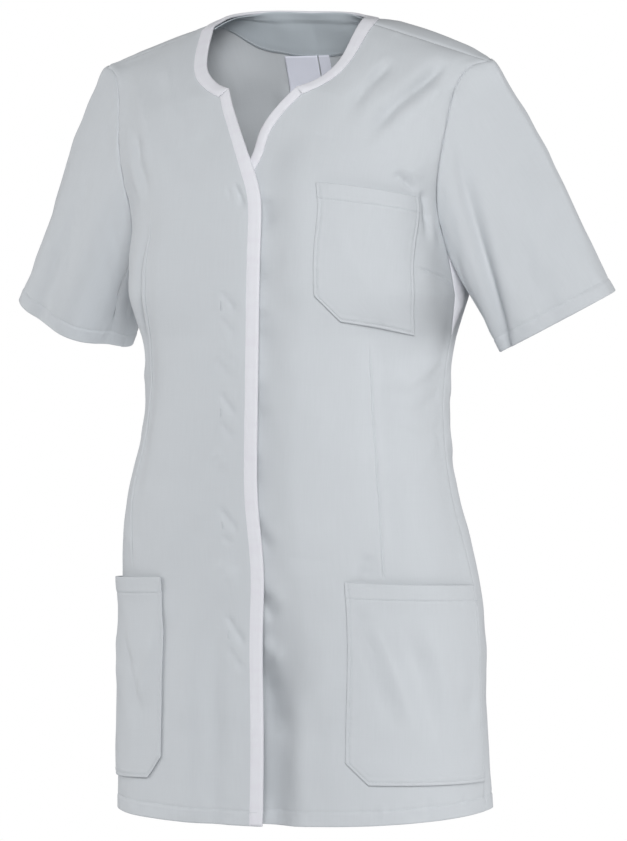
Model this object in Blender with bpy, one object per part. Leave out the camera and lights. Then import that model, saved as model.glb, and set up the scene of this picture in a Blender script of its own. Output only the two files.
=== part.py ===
"""Medical tunic, worn by nobody: its cloth as hollow walls, one solid for each cut piece.

X runs to the wearer's left, Y to the wearer's back and Z up, in metres. The origin lies midway
between the two points where the shoulder seams meet the neck. Tables describe the wearer's left
half, with x outwards, and the right half is its mirror.
"""

import math

import bmesh
import bpy
import numpy as np
from mathutils import Vector
from mathutils.bvhtree import BVHTree

WALL = 0.0011            # thickness of one cut piece
SEAM_GAP = 0.0003        # between two pieces that are sewn together
SLEEVE_GAP = 0.0008      # at the armhole, where the cloth turns sharply
LAY_GAP = 0.0007         # under a piece that lies on a panel
POCKET_GAP = 0.0008
FACING_GAP = 0.0016
BINDING_WIDTH = 0.012
BINDING_WALL = 0.0010
BINDING_GAP = 0.0006
MITRE_GAP = 0.0006
NECK_EASE = 0.0007       # between the cloth and the sewn sides of the neck's binding
BINDING_INSIDE = 0.0075  # the binding's width on the inner side
UNDER_DROP = 0.0053      # depth of the under front below the outer one
# It drops inside this girth, over the fade, and below this height.
UNDER_EDGE = {"girth": 0.060, "fade": 0.040, "z": -0.090, "z_fade": 0.042}
OUTER_EDGE = {"girth": 0.030, "fade": 0.030}    # the outer front has no folds inside this girth
# The hem lies a little lower at the wearer's right; the shoulder and the neck sit higher there.
HEM_TILT = {"share": 0.025, "z": -0.45, "fade": 0.28}
SHOULDER_TILT = {"share": 0.10, "z": -0.18, "fade": 0.12}
NECK_TILT = {"share": 0.05, "fade": 0.03, "half_width": 0.105, "side_fade": 0.04}
UNDERARM_Z = -0.214      # front and back corners of the gusset
GUSSET_TIP_Z = -0.300
GUSSET_HALF = 0.028
GUSSET_CROWN = (0.0035, 0, -0.022)     # the middle of its top edge, from the side's line
TIP_GAP = 0.0009         # between the gusset's tip and the side seam below it
SIDE_BEND = 0.20         # how gently the body turns at its side
CORNER_PULL = 6          # powers that keep a correction close to the edge it starts from
OUTER_PULL = 2
INNER_PULL = 4
UPPER_STEP = 0.017       # row spacing above and below the underarm
LOWER_STEP = 0.0235
FRONT_COLUMNS = 14
BACK_COLUMNS = 12        # from the centre back to one side
NECK_SHARE = 0.5         # share of the back's columns that end at the neck
SLEEVE_ROWS = 9
NECK_STEPS = 4           # rings of the neck's binding for each point of the neck
CURVE_STEPS = 200        # stretches in which a row's length is measured
SHOULDER_STEPS = 8       # and in which the shoulder seam's normals are shared

CLOTH = (0.565, 0.597, 0.627)
BINDING = (0.700, 0.708, 0.745)
FACING = (0.400, 0.450, 0.490)
LABEL = (0.640, 0.660, 0.730)
METAL = (0.620, 0.620, 0.630)

ROW = ("name", "inner", "outer", "leave", "leave_pull", "arrive", "arrive_pull", "lift")

# The front's rows run from the free edge at the neck and opening to the armhole or the side. The
# first four start at a share of the neck curve, the others at (y, z) on the opening's edge. Angles
# are seen from above, in degrees from straight outwards to the back; lift raises a row's middle.
FRONT_ROWS = (
    ("shoulder seam", 0.00, (0.1985, 0.015, -0.040), 7, 0.33, 7, 0.33, 0),
    ("collar bone", 0.30, (0.1835, 0.001, -0.047), 6, 0.33, 20, 0.33, 0.0010),
    ("yoke", 0.58, (0.1740, -0.010, -0.066), 4, 0.35, 34, 0.33, 0.0010),
    ("neck corner", 1.00, (0.1680, -0.022, -0.106), 2, 0.42, 48, 0.33, 0),
    ("open neck", (-0.0835, -0.118), (0.1620, -0.027, -0.146), 0, 0.45, 56, 0.33, 0),
    ("crossing", (-0.1015, -0.166), (0.1580, -0.019, -0.182), 0, 0.48, 66, 0.34, 0),
    ("underarm", (-0.1090, -0.214), (0.1625, -0.006, -0.214), 0, 0.52, 78, 0.36, 0),
    ("bust", (-0.1115, -0.262), (0.1640, 0.022, -0.262), 0, 0.52, 90, 0.40, 0),
    ("under bust", (-0.1125, -0.300), (0.1545, 0.024, -0.300), 0, 0.50, 90, 0.38, 0),
    ("waist", (-0.1135, -0.345), (0.1480, 0.026, -0.345), 0, 0.48, 90, 0.36, 0),
    ("below waist", (-0.1115, -0.400), (0.1515, 0.028, -0.400), 0, 0.48, 90, 0.36, 0),
    ("high hip", (-0.1085, -0.455), (0.1630, 0.029, -0.455), 0, 0.48, 90, 0.36, 0),
    ("hip", (-0.1050, -0.515), (0.1735, 0.032, -0.515), 0, 0.48, 90, 0.36, 0),
    ("low hip", (-0.1030, -0.570), (0.1785, 0.034, -0.570), 0, 0.48, 90, 0.36, 0),
    ("thigh", (-0.1030, -0.650), (0.1810, 0.037, -0.650), 0, 0.48, 90, 0.36, 0),
    ("hem", (-0.1060, -0.751), (0.1845, 0.040, -0.751), 0, 0.48, 90, 0.36, 0),
)
# The neck's free edge from the shoulder seam to the corner at the top of the opening.
NECK_CURVE = ((0.0770, 0.0000, -0.0022), (0.0745, -0.0160, -0.0190), (0.0708, -0.0310, -0.0380),
              (0.0640, -0.0425, -0.0515), (0.0535, -0.0500, -0.0605), (0.0352, -0.0600, -0.0685))
# The opening's edge below it: height, and distance from the centre.
OPENING = {
    "right": ((-0.0685, 0.0352), (-0.0850, 0.0280), (-0.1050, 0.0170), (-0.1330, 0.0020),
              (-0.1570, -0.0095), (-0.1720, -0.0142), (-0.1900, -0.0160), (-0.2140, -0.0160),
              (-0.2900, -0.0155), (-0.3450, -0.0165), (-0.4000, -0.0172), (-0.4550, -0.0195),
              (-0.5150, -0.0205), (-0.5700, -0.0175), (-0.7600, -0.0172)),
    "left": ((-0.0685, 0.0352), (-0.0800, 0.0248), (-0.0950, 0.0135), (-0.1090, 0.0055),
             (-0.1290, 0.0006), (-0.1480, -0.0078), (-0.1700, -0.0180), (-0.1900, -0.0220),
             (-0.2140, -0.0220), (-0.7600, -0.0220)),
}
# The back's rows start at the centre back. Its first row follows the neck and then the shoulder,
# and the ridge of the shoulder lies behind the seam.
BACK_ROWS = (
    ("top edge", (0, 0.0600, 0.0138), (0.1985, 0.015, -0.040), 0, 0.54, -84, 0.42, 0.0068),
    ("ridge", (0, 0.0680, 0.001), (0.1945, 0.032, -0.0365), -12, 0.34, 0, 0.42, 0.0270),
    ("nape", (0, 0.0820, -0.029), (0.1850, 0.053, -0.0590), -4, 0.42, -14, 0.33, 0.0135),
    ("yoke", (0, 0.0990, -0.068), (0.1740, 0.072, -0.0930), 0, 0.40, -30, 0.33, 0.0030),
    ("shoulder blade", (0, 0.1140, -0.115), (0.1650, 0.083, -0.128), 0, 0.40, -46, 0.33, 0),
    ("back armhole", (0, 0.1210, -0.165), (0.1610, 0.076, -0.172), 0, 0.44, -62, 0.34, 0),
    ("underarm", (0, 0.1225, -0.214), (0.1625, 0.050, -0.214), 0, 0.50, -80, 0.36, 0),
    ("bust", (0, 0.1200, -0.262), (0.1640, 0.022, -0.262), 0, 0.50, -90, 0.38, 0),
    ("under bust", (0, 0.1160, -0.300), (0.1545, 0.024, -0.300), 0, 0.48, -90, 0.36, 0),
    ("waist", (0, 0.1140, -0.345), (0.1480, 0.026, -0.345), 0, 0.48, -90, 0.34, 0),
    ("below waist", (0, 0.1190, -0.400), (0.1515, 0.028, -0.400), 0, 0.48, -90, 0.34, 0),
    ("high hip", (0, 0.1280, -0.455), (0.1630, 0.029, -0.455), 0, 0.48, -90, 0.34, 0),
    ("hip", (0, 0.1370, -0.515), (0.1735, 0.032, -0.515), 0, 0.48, -90, 0.34, 0),
    ("low hip", (0, 0.1430, -0.570), (0.1785, 0.034, -0.570), 0, 0.48, -90, 0.34, 0),
    ("thigh", (0, 0.1480, -0.650), (0.1810, 0.037, -0.650), 0, 0.48, -90, 0.34, 0),
    ("hem", (0, 0.1510, -0.751), (0.1845, 0.040, -0.751), 0, 0.48, -90, 0.34, 0),
)
# How far the worn cloth leans to the wearer's left at each height.
SWAY = ((0.030, 0.0024), (-0.050, 0.0024), (-0.150, 0.0036), (-0.250, 0.0052),
        (-0.345, 0.0035), (-0.400, 0.0000), (-0.455, -0.0035), (-0.515, 0.0010),
        (-0.570, 0.0045), (-0.650, 0.0035), (-0.760, 0.0035))
HPS = np.array(NECK_CURVE[0])        # where the shoulder seam meets the neck
SHOULDER_TIP = np.array(FRONT_ROWS[0][2])

# Soft folds: start and end as (girth from the centre, height), half width and height of the ridge,
# negative for a trough. One that ends below HEM_FOLD runs out through the hem.
FOLD = ("start", "end", "half_width", "height")
HEM_FOLD = -0.73
FOLD_LEAD = 0.12         # share of its swell that a fold has at its start
FOLD_GROWTH = 2.5
SLEEVE_GROWTH = 1.6
FRONT_FOLDS = {
    "left": (
        ((0.095, -0.030), (0.060, -0.125), 0.019, 0.0022),
        ((0.160, -0.045), (0.085, -0.150), 0.020, 0.0026),
        ((0.128, -0.300), (0.150, -0.535), 0.016, -0.0028),
        ((0.195, -0.300), (0.165, -0.400), 0.016, 0.0020),
        ((0.050, -0.520), (0.040, -0.735), 0.022, -0.0040),
        ((0.105, -0.560), (0.120, -0.735), 0.030, 0.0026),
        ((0.075, -0.380), (0.060, -0.520), 0.022, 0.0016),
    ),
    "right": (
        ((0.100, -0.032), (0.062, -0.130), 0.019, 0.0020),
        ((0.140, -0.060), (0.100, -0.170), 0.020, 0.0020),
        ((0.118, -0.190), (0.148, -0.535), 0.016, -0.0030),
        ((0.195, -0.290), (0.160, -0.410), 0.016, 0.0018),
        ((0.060, -0.540), (0.055, -0.735), 0.024, 0.0026),
        ((0.125, -0.590), (0.110, -0.735), 0.020, -0.0022),
    ),
}
BACK_FOLDS = (
    ((0.095, -0.290), (0.085, -0.520), 0.018, -0.0030),
    ((0.000, -0.340), (0.010, -0.480), 0.030, -0.0035),
    ((0.130, -0.075), (0.085, -0.170), 0.020, 0.0022),
    ((0.150, -0.380), (0.060, -0.410), 0.018, 0.0020),
    ((0.050, -0.560), (0.055, -0.735), 0.026, 0.0030),
    ((0.135, -0.560), (0.145, -0.735), 0.022, 0.0024),
)
# Sleeve folds: places round the sleeve in degrees from its outer edge towards the front, at the
# head and at the hem, then the stretch of its length, the half width in degrees and the height.
SLEEVE_FOLD = ("head", "hem", "from", "to", "half_width", "height")
SLEEVE_FOLDS = (
    (75, 78, 0.25, 1.0, 15, -0.0040),
    (112, 118, 0.15, 1.0, 14, 0.0035),
    (40, 38, 0.35, 1.0, 16, 0.0020),
    (235, 250, 0.20, 1.0, 18, -0.0035),
    (290, 285, 0.30, 1.0, 18, 0.0025),
)
SLEEVE_HEM = {"centre": (0.2500, 0.0500, -0.2865), "half_width": 0.0620, "half_depth": 0.0500}
SLEEVE_AXIS = (0.504, 0.188, -1.000)
SLEEVE_HEAD = (0.590, 0.120, -0.800)      # the way the cloth leaves the shoulder's tip
SLEEVE_UNDER = (0.300, 0.060, -0.950)     # and the way it leaves the underarm

# Girths are measured from the centre front, and a width of None reaches the side seam.
POCKETS = {
    "chest_pocket": {"panel": "left", "inner": 0.0690, "width": 0.098, "top": -0.160,
                     "foot": -0.287, "slope": 0.012, "chamfer": 0.024},
    "lower_pocket_left": {"panel": "left", "inner": 0.0960, "width": None, "top": -0.526,
                          "foot": -0.714, "slope": 0.009, "chamfer": 0.021},
    "lower_pocket_right": {"panel": "right", "inner": 0.0960, "width": None, "top": -0.526,
                           "foot": -0.714, "slope": 0.009, "chamfer": 0.021},
}
SIDE_MARGIN = 0.012      # share of the panel that a lower pocket leaves at the side seam
POCKET_ROWS = 10
POCKET_COLUMNS = 8
POCKET_EASE = 0.0022
POCKET_SWELL = {"top": 0.35, "span": 0.60}      # part of a half turn that its fullness follows
FLY = {"inner": -0.0065, "outer": 0.037, "top": -0.203, "foot": -0.665, "rows": 22}
STUD = {"count": 5, "first": -0.216, "spacing": 0.1022, "x": 0.000, "radius": 0.005,
        "thickness": 0.0009, "sides": 16}
FACING_BAND = {"start": 0.0090, "centre_width": 0.0375, "end_width": 0.0110, "rows": 4}
LABELS = {
    "neck_label": {"x": (-0.0350, -0.0015), "z": (-0.0255, -0.0640)},
    "size_tab": {"x": (0.0002, 0.0115), "z": (-0.0255, -0.0530)},
}


def table(columns, rows):
    return [dict(zip(columns, row)) for row in rows]


def unit(vectors):
    return vectors / np.maximum(np.linalg.norm(vectors, axis=-1, keepdims=True), 1e-12)


def smooth(value):
    value = np.clip(value, 0, 1)
    return value * value * (3 - 2 * value)


def bezier(points, t):
    t = np.asarray(t)[..., None]
    a, b, c, d = points
    return (1 - t) ** 3 * a + 3 * (1 - t) ** 2 * t * b + 3 * (1 - t) * t**2 * c + t**3 * d


class Spline:
    """A natural cubic spline through values, one for each knot."""

    def __init__(self, knots, values):
        self.knots = np.asarray(knots, float)
        self.values = np.asarray(values, float)
        count = len(self.knots)
        step = np.diff(self.knots)
        flat = self.values.reshape(count, -1)
        matrix = np.eye(count)
        right = np.zeros_like(flat)
        for i in range(1, count - 1):
            matrix[i, i - 1:i + 2] = step[i - 1], 2 * (step[i - 1] + step[i]), step[i]
            rise = (flat[i + 1] - flat[i]) / step[i] - (flat[i] - flat[i - 1]) / step[i - 1]
            right[i] = 6 * rise
        self.bend = np.linalg.solve(matrix, right).reshape(self.values.shape)

    def weights(self, at):
        at = np.clip(at, self.knots[0], self.knots[-1])
        low = np.clip(np.searchsorted(self.knots, at, "right") - 1, 0, len(self.knots) - 2)
        step = self.knots[low + 1] - self.knots[low]
        b = (at - self.knots[low]) / step
        return low, 1 - b, b, step

    def __call__(self, at):
        low, a, b, step = self.weights(at)
        shape = np.shape(low) + (1,) * (self.values.ndim - 1)
        a, b, step = (np.reshape(part, shape) for part in (a, b, step))
        bend = (a**3 - a) * self.bend[low] + (b**3 - b) * self.bend[low + 1]
        return a * self.values[low] + b * self.values[low + 1] + bend * step**2 / 6


def row_points(row):
    start, end = np.array(row["inner"], float), np.array(row["outer"], float)
    chord = end - start
    length = np.linalg.norm(chord)
    handles = []
    for angle, pull in ((row["leave"], row["leave_pull"]), (row["arrive"], row["arrive_pull"])):
        turn = math.radians(angle)
        handles.append(np.array((math.cos(turn), math.sin(turn), 0)) * pull * length)
    rise, lift = np.array((0, 0, chord[2] / 3)), np.array((0, 0, row["lift"]))
    return start, start + handles[0] + rise + lift, end - handles[1] - rise + lift, end


class RowCurve:
    """One row as a curve that is run through evenly, from 0 at its start to 1 at its end."""

    def __init__(self, points):
        self.points = points
        self.t = np.linspace(0, 1, CURVE_STEPS + 1)
        steps = np.linalg.norm(np.diff(bezier(points, self.t), axis=0), axis=1)
        self.length = steps.sum()
        self.share = np.concatenate(([0], np.cumsum(steps))) / self.length

    def __call__(self, share):
        return bezier(self.points, np.interp(share, self.share, self.t))


class TopEdge:
    """The back's first row: half the neck, then the straight shoulder seam."""

    def __init__(self, neck, seam):
        self.neck, self.seam = RowCurve(neck), seam
        self.length = self.neck.length + np.linalg.norm(seam[1] - seam[0])

    def __call__(self, share):
        along = np.clip((share - NECK_SHARE) / (1 - NECK_SHARE), 0, 1)[..., None]
        seam = self.seam[0] * (1 - along) + self.seam[1] * along
        neck = self.neck(np.clip(share / NECK_SHARE, 0, 1))
        return np.where(share[..., None] <= NECK_SHARE, neck, seam)


def curve_shares(points):
    steps = np.linalg.norm(np.diff(points, axis=0), axis=1)
    return np.concatenate(([0], np.cumsum(steps))) / steps.sum()


neck_point = Spline(curve_shares(np.array(NECK_CURVE)), NECK_CURVE)
OPENING_EDGE = {side: Spline([-z for z, _ in edge], [x for _, x in edge])
                for side, edge in OPENING.items()}
LEAN = Spline([-z for z, _ in SWAY], [shift for _, shift in SWAY])
SIDE = Spline([-row[2][2] for row in FRONT_ROWS[7:]], [row[2][:2] for row in FRONT_ROWS[7:]])


def side_point(z, depth):
    """The side at a height, moved to the back by depth round the body's curve."""
    x, y = np.moveaxis(SIDE(np.maximum(-z, SIDE.knots[0])), -1, 0)
    tuck = depth**2 / SIDE_BEND
    return np.stack((x - tuck, y + depth, z), axis=-1)


class Panel:
    """Half a front or half the back: rows joined into one smooth sheet, then folded."""

    def __init__(self, rows, curves, folds, side=None):
        self.side, self.front = side, side is not None
        self.folds = table(FOLD, folds)
        self.names = [row["name"] for row in rows]
        self.under = self.names.index("underarm")
        inner = np.array([curve(np.array(0.0)) for curve in curves])
        outer = np.array([curve(np.array(1.0)) for curve in curves])
        steps = np.linalg.norm(np.diff(inner, axis=0), axis=1)
        steps = (steps + np.linalg.norm(np.diff(outer, axis=0), axis=1)) / 2
        steps[self.under:] = -np.diff(outer[:, 2])[self.under:]
        self.knots = np.concatenate(([0], np.cumsum(steps)))
        self.curves = curves
        self.lengths = Spline(self.knots, [curve.length for curve in curves])
        self.armhole = Spline(self.knots[:self.under + 1], outer[:self.under + 1])
        self.ends = Spline(self.knots, np.stack((inner, outer), axis=1))
        if self.front:
            self.corner = self.names.index("neck corner")
            shares = [row["share"] for row in rows[:self.corner + 1]]
            self.neck_share = Spline(self.knots[:self.corner + 1], shares)
            self.opening = Spline(self.knots[self.corner:], inner[self.corner:, 1:])

    def height_of(self, down):
        return UNDERARM_Z - (down - self.knots[self.under])

    def outer_edge(self, down):
        down = np.asarray(down, float)
        z = self.height_of(down)
        taper = np.clip((z - GUSSET_TIP_Z) / (UNDERARM_Z - GUSSET_TIP_Z), 0, 1)
        depth = GUSSET_HALF * taper * (-1 if self.front else 1)
        lower = side_point(z, depth)
        upper = self.armhole(down)
        # The last stretch of the armhole runs into the gusset's corner.
        share = np.clip(down / self.knots[self.under], 0, 1)[..., None] ** CORNER_PULL
        corner = side_point(np.array(UNDERARM_Z), GUSSET_HALF * (-1 if self.front else 1))
        upper = upper + share * (corner - self.armhole(self.knots[self.under]))
        return np.where((down >= self.knots[self.under])[..., None], lower, upper)

    def inner_edge(self, down):
        down = np.asarray(down, float)
        corner = self.knots[self.corner]
        neck = neck_point(self.neck_share(np.minimum(down, corner)))
        y, z = np.moveaxis(self.opening(np.maximum(down, corner)), -1, 0)
        opening = np.stack((OPENING_EDGE[self.side](-z), y, z), axis=-1)
        return np.where((down <= corner)[..., None], neck, opening)

    def base(self, across, down):
        across, down = np.broadcast_arrays(np.asarray(across, float), np.asarray(down, float))
        shape = across.shape
        across, down = across.ravel(), np.clip(down.ravel(), 0, self.knots[-1])
        sheets = Spline(self.knots, np.array([curve(across) for curve in self.curves]))
        low, a, b, step = sheets.weights(down)
        each = np.arange(len(across))
        a, b, step = a[:, None], b[:, None], step[:, None]
        bend = (a**3 - a) * sheets.bend[low, each] + (b**3 - b) * sheets.bend[low + 1, each]
        found = a * sheets.values[low, each] + b * sheets.values[low + 1, each]
        found = found + bend * step**2 / 6
        plain = self.ends(down)
        found += (self.outer_edge(down) - plain[:, 1]) * across[:, None] ** OUTER_PULL
        if self.front:
            inner = self.inner_edge(down) - plain[:, 0]
            found += inner * (1 - across[:, None]) ** INNER_PULL
        return found.reshape(shape + (3,))

    def normal(self, across, down):
        eps = 0.004
        along = self.base(across, down + eps) - self.base(across, down - eps)
        left, right = np.clip(across - eps, 0, 1), np.clip(across + eps, 0, 1)
        over = self.base(right, down) - self.base(left, down)
        return unit(np.cross(along, over) * (1 if self.front else -1))

    def start_of(self, down):
        """How far from the centre the sheet starts."""
        return self.inner_edge(down)[..., 0] if self.front else 0.0

    def girth(self, across, down):
        return across * self.lengths(down) + self.start_of(down)

    def share_of(self, girth, down):
        return (girth - self.start_of(down)) / self.lengths(down)

    def relief(self, across, down, points):
        girth = self.girth(across, down)
        total = np.zeros(girth.shape)
        for fold in self.folds:
            start, end = np.array(fold["start"]), np.array(fold["end"])
            line = end - start
            offset = np.stack((girth, points[..., 2]), axis=-1) - start
            along = np.clip(offset @ line / (line @ line), 0, 1)
            away = np.linalg.norm(offset - along[..., None] * line, axis=-1)
            swell = np.exp(-((away / fold["half_width"]) ** 2))
            fade = np.sqrt(np.sin(np.clip(FOLD_LEAD + along, 0, 1) * math.pi))
            if fold["end"][1] < HEM_FOLD:
                fade = np.clip(along * FOLD_GROWTH, 0, 1)
            total += fold["height"] * swell * fade
        return total

    def points(self, across, down):
        across, down = np.broadcast_arrays(np.asarray(across, float), np.asarray(down, float))
        base = self.base(across, down)
        normal = self.normal(across, down)
        lift = self.relief(across, down, base)
        if self.side == "left":
            edge = UNDER_EDGE
            near = smooth((edge["girth"] - self.girth(across, down)) / edge["fade"])
            low = smooth((edge["z"] - base[..., 2]) / edge["z_fade"])
            lift = lift * (1 - near) - UNDER_DROP * near * low
        elif self.front:
            edge = OUTER_EDGE
            lift = lift * smooth((self.girth(across, down) - edge["girth"]) / edge["fade"])
        return base + normal * lift[..., None]

    def levels(self):
        """Places of the grid's rows: every table row, with even steps between them."""
        found = [0.0]
        for i, span in enumerate(np.diff(self.knots)):
            step = UPPER_STEP if i < self.under else LOWER_STEP
            count = max(1, round(span / step))
            found += list(self.knots[i] + span * np.arange(1, count + 1) / count)
        return np.array(found)

    def locate(self, across, z):
        """The place down the sheet where it reaches height z."""
        down = self.knots[self.under] + UNDERARM_Z - z
        for _ in range(8):
            down = down + self.base(across, down)[..., 2] - z
        return down


def front_panel(side, over=None):
    """A front; past the centre the under front runs along the mirrored outer front, over."""
    rows = table(ROW, FRONT_ROWS)
    for i, row in enumerate(rows):
        if isinstance(row["inner"], float):
            row["share"] = row["inner"]
            row["inner"] = neck_point(np.array(row["share"]))
            continue
        y, z = row["inner"]
        x = float(OPENING_EDGE[side](np.array(-z)))
        if over is not None and x < 0:
            places = over.curves[i](np.linspace(0, 0.6, 121))
            y = np.interp(-x, places[:, 0], places[:, 1])
            slope = np.interp(-x, places[1:, 0], np.diff(places[:, 1]) / np.diff(places[:, 0]))
            row["leave"] = -math.degrees(math.atan(slope))
        row["inner"] = (x, y, z)
    curves = [RowCurve(row_points(row)) for row in rows]
    return Panel(rows, curves, FRONT_FOLDS[side], side)


def back_panel():
    rows = table(ROW, BACK_ROWS)
    neck = dict(rows[0], outer=tuple(HPS))
    curves = [TopEdge(row_points(neck), (HPS, SHOULDER_TIP))]
    curves += [RowCurve(row_points(row)) for row in rows[1:]]
    return Panel(rows, curves, BACK_FOLDS)


def tilted(points):
    """The finished place of a point: it sways, and the garment hangs from its tilted shoulders."""
    moved = np.array(points, float)
    moved[..., 0] += LEAN(-moved[..., 2])
    x, y, z = np.moveaxis(moved, -1, 0)
    low = smooth((HEM_TILT["z"] - z) / HEM_TILT["fade"])
    high = smooth((z - SHOULDER_TILT["z"]) / SHOULDER_TILT["fade"])
    fade = NECK_TILT["fade"]
    neck = smooth(y / fade) * smooth(z / fade + 1)
    neck = neck * smooth((NECK_TILT["half_width"] - np.abs(x)) / NECK_TILT["side_fade"])
    moved[..., 2] = (z + HEM_TILT["share"] * x * low - SHOULDER_TILT["share"] * x * np.abs(x) * high
                     - NECK_TILT["share"] * x * neck)
    return moved


def sampled(at, knots, vectors):
    """Vectors between the given ones, part by part."""
    return np.stack([np.interp(at, knots, part) for part in vectors.T], axis=-1)


def mirrored(grid):
    """The same sheet on the wearer's right, its columns still left to right from outside."""
    return grid[:, ::-1] * np.array((-1, 1, 1))


def grid_normals(grid, wrap=False):
    if wrap:
        over = np.roll(grid, -1, axis=1) - np.roll(grid, 1, axis=1)
    else:
        over = np.gradient(grid, axis=1)
    return unit(np.cross(np.gradient(grid, axis=0), over))


def drawn_in(grid, normals, wrap, tip):
    """The sheet with each edge drawn back by half a seam's gap, a sleeve's by more."""
    moved = grid.copy()
    edges = [(np.s_[0], np.s_[1]), (np.s_[-1], np.s_[-2])]
    if not wrap:
        edges += [(np.s_[:, 0], np.s_[:, 1]), (np.s_[:, -1], np.s_[:, -2])]
    for edge, inside in edges:
        way = grid[inside] - grid[edge]
        way = unit(way - np.sum(way * normals[edge], axis=-1, keepdims=True) * normals[edge])
        if tip:
            way[-1] = 0
        moved[edge] = moved[edge] + way * (SLEEVE_GAP if wrap else SEAM_GAP / 2)
    if tip:
        moved[-1] = moved[-1].mean(axis=0) + np.array((0, 0, TIP_GAP))
    return moved


def halves(cell, column, columns):
    """A cell's two triangles; the cuts lean the other way in the left half of a sheet."""
    a, b, c, d = cell
    if column < (columns - 1) / 2:
        return (a, b, d), (b, c, d)
    return (a, b, c), (a, c, d)


def wall_mesh(outer, inner, wrap=False, tip=False):
    rows, columns = outer.shape[:2]
    points = np.concatenate((outer.reshape(-1, 3), inner.reshape(-1, 3)))
    behind = rows * columns

    def at(i, j, skin):
        return skin * behind + i * columns + j % columns

    faces = []
    for i in range(rows - 1):
        for j in range(columns if wrap else columns - 1):
            for skin in (0, 1):
                cell = (at(i, j, skin), at(i + 1, j, skin),
                        at(i + 1, j + 1, skin), at(i, j + 1, skin))
                for face in halves(cell, j, columns):
                    faces.append(face[::-1] if skin else face)
    for j in range(columns if wrap else columns - 1):
        for i, turned in ((0, False), (rows - 1, True)):
            rim = (at(i, j, 0), at(i, j + 1, 0), at(i, j + 1, 1), at(i, j, 1))
            faces.append(rim[::-1] if turned else rim)
    for i in range(0 if wrap else rows - 1):
        for j, turned in ((0, True), (columns - 1, False)):
            rim = (at(i, j, 0), at(i + 1, j, 0), at(i + 1, j, 1), at(i, j, 1))
            faces.append(rim[::-1] if turned else rim)
    return points, faces, tip


def add_solid(name, shape, colour, roughness=0.8, metallic=0.0):
    points, faces, tip = shape
    mesh = bpy.data.meshes.new(name)
    mesh.from_pydata([tuple(point) for point in points], [], faces)
    work = bmesh.new()
    work.from_mesh(mesh)
    if tip:
        bmesh.ops.remove_doubles(work, verts=work.verts, dist=1e-6)
    bmesh.ops.recalc_face_normals(work, faces=work.faces)
    if work.calc_volume(signed=True) < 0:
        bmesh.ops.reverse_faces(work, faces=work.faces)
    bmesh.ops.triangulate(work, faces=work.faces)
    work.to_mesh(mesh)
    work.free()
    mesh.shade_smooth()
    mesh.set_sharp_from_angle(angle=math.radians(40))
    solid = bpy.data.objects.new(name, mesh)
    bpy.context.scene.collection.objects.link(solid)
    material = bpy.data.materials.new(name)
    material.use_nodes = True
    shader = material.node_tree.nodes["Principled BSDF"]
    shader.inputs["Base Color"].default_value = (*colour, 1)
    shader.inputs["Roughness"].default_value = roughness
    shader.inputs["Metallic"].default_value = metallic
    mesh.materials.append(material)
    return solid


def skins(grid, normals, thickness, wrap=False, tip=False, drawn=True):
    middle = drawn_in(grid, normals, wrap, tip) if drawn else grid
    half = normals * thickness / 2
    outer, inner = middle + half, middle - half
    return wall_mesh(tilted(outer), tilted(inner), wrap, tip)


def sleeve_grid(ring):
    """Rings from the armhole, whose points start under the arm at the front, to the hem."""
    closed = np.concatenate((ring, ring[:1]))
    along = np.concatenate(([0], np.cumsum(np.linalg.norm(np.diff(closed, axis=0), axis=1))))
    top = int(np.argmax(ring[:, 2]))
    turn = np.interp(along, (0, along[top], along[-1]), (math.pi, 0, -math.pi))[:-1]
    axis = unit(np.array(SLEEVE_AXIS))
    wide = unit(np.cross(np.array((0, -1.0, 0)), axis))
    wide = wide if wide[0] > 0 else -wide
    deep = unit(np.cross(axis, wide))
    deep = deep if deep[1] < 0 else -deep
    hem = np.array(SLEEVE_HEM["centre"])
    hem = hem + np.cos(turn)[:, None] * SLEEVE_HEM["half_width"] * wide
    hem = hem + np.sin(turn)[:, None] * SLEEVE_HEM["half_depth"] * deep
    lean = ((1 - np.cos(turn)) / 2)[:, None]
    leave = unit(np.array(SLEEVE_HEAD) * (1 - lean) + np.array(SLEEVE_UNDER) * lean)
    reach = np.linalg.norm(hem - ring, axis=1, keepdims=True)
    t = np.linspace(0, 1, SLEEVE_ROWS + 1)[:, None, None]
    grid = (2 * t**3 - 3 * t**2 + 1) * ring + (t**3 - 2 * t**2 + t) * leave * reach
    grid = grid + (3 * t**2 - 2 * t**3) * hem + (t**3 - t**2) * axis * reach
    normals = grid_normals(grid, wrap=True)
    place = np.degrees(turn)[None, :] % 360
    t = t[..., 0]
    lift = np.zeros(grid.shape[:2])
    for fold in table(SLEEVE_FOLD, SLEEVE_FOLDS):
        middle = fold["head"] + (fold["hem"] - fold["head"]) * t
        away = (place - middle + 180) % 360 - 180
        grow = smooth((t - fold["from"]) / (fold["to"] - fold["from"]) * SLEEVE_GROWTH)
        lift += fold["height"] * grow * np.exp(-((away / fold["half_width"]) ** 2))
    return grid + normals * lift[..., None]


def gusset_grid(front_edge, back_edge, columns=6):
    """Rows between the two panels' edges, from the armhole's floor down to the tip."""
    rows = []
    depth = front_edge[:, 2] - front_edge[-1, 2]
    for front, back, left in zip(front_edge, back_edge, depth / depth[0]):
        middle = (front + back) / 2
        out = side_point(np.array(middle[2]), np.array(0.0))
        crown = out + np.array(GUSSET_CROWN) * left
        p = np.linspace(0, 1, columns + 1)[:, None]
        rows.append(front * (1 - p) + back * p + 4 * p * (1 - p) * (crown - middle))
    return np.array(rows)


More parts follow.
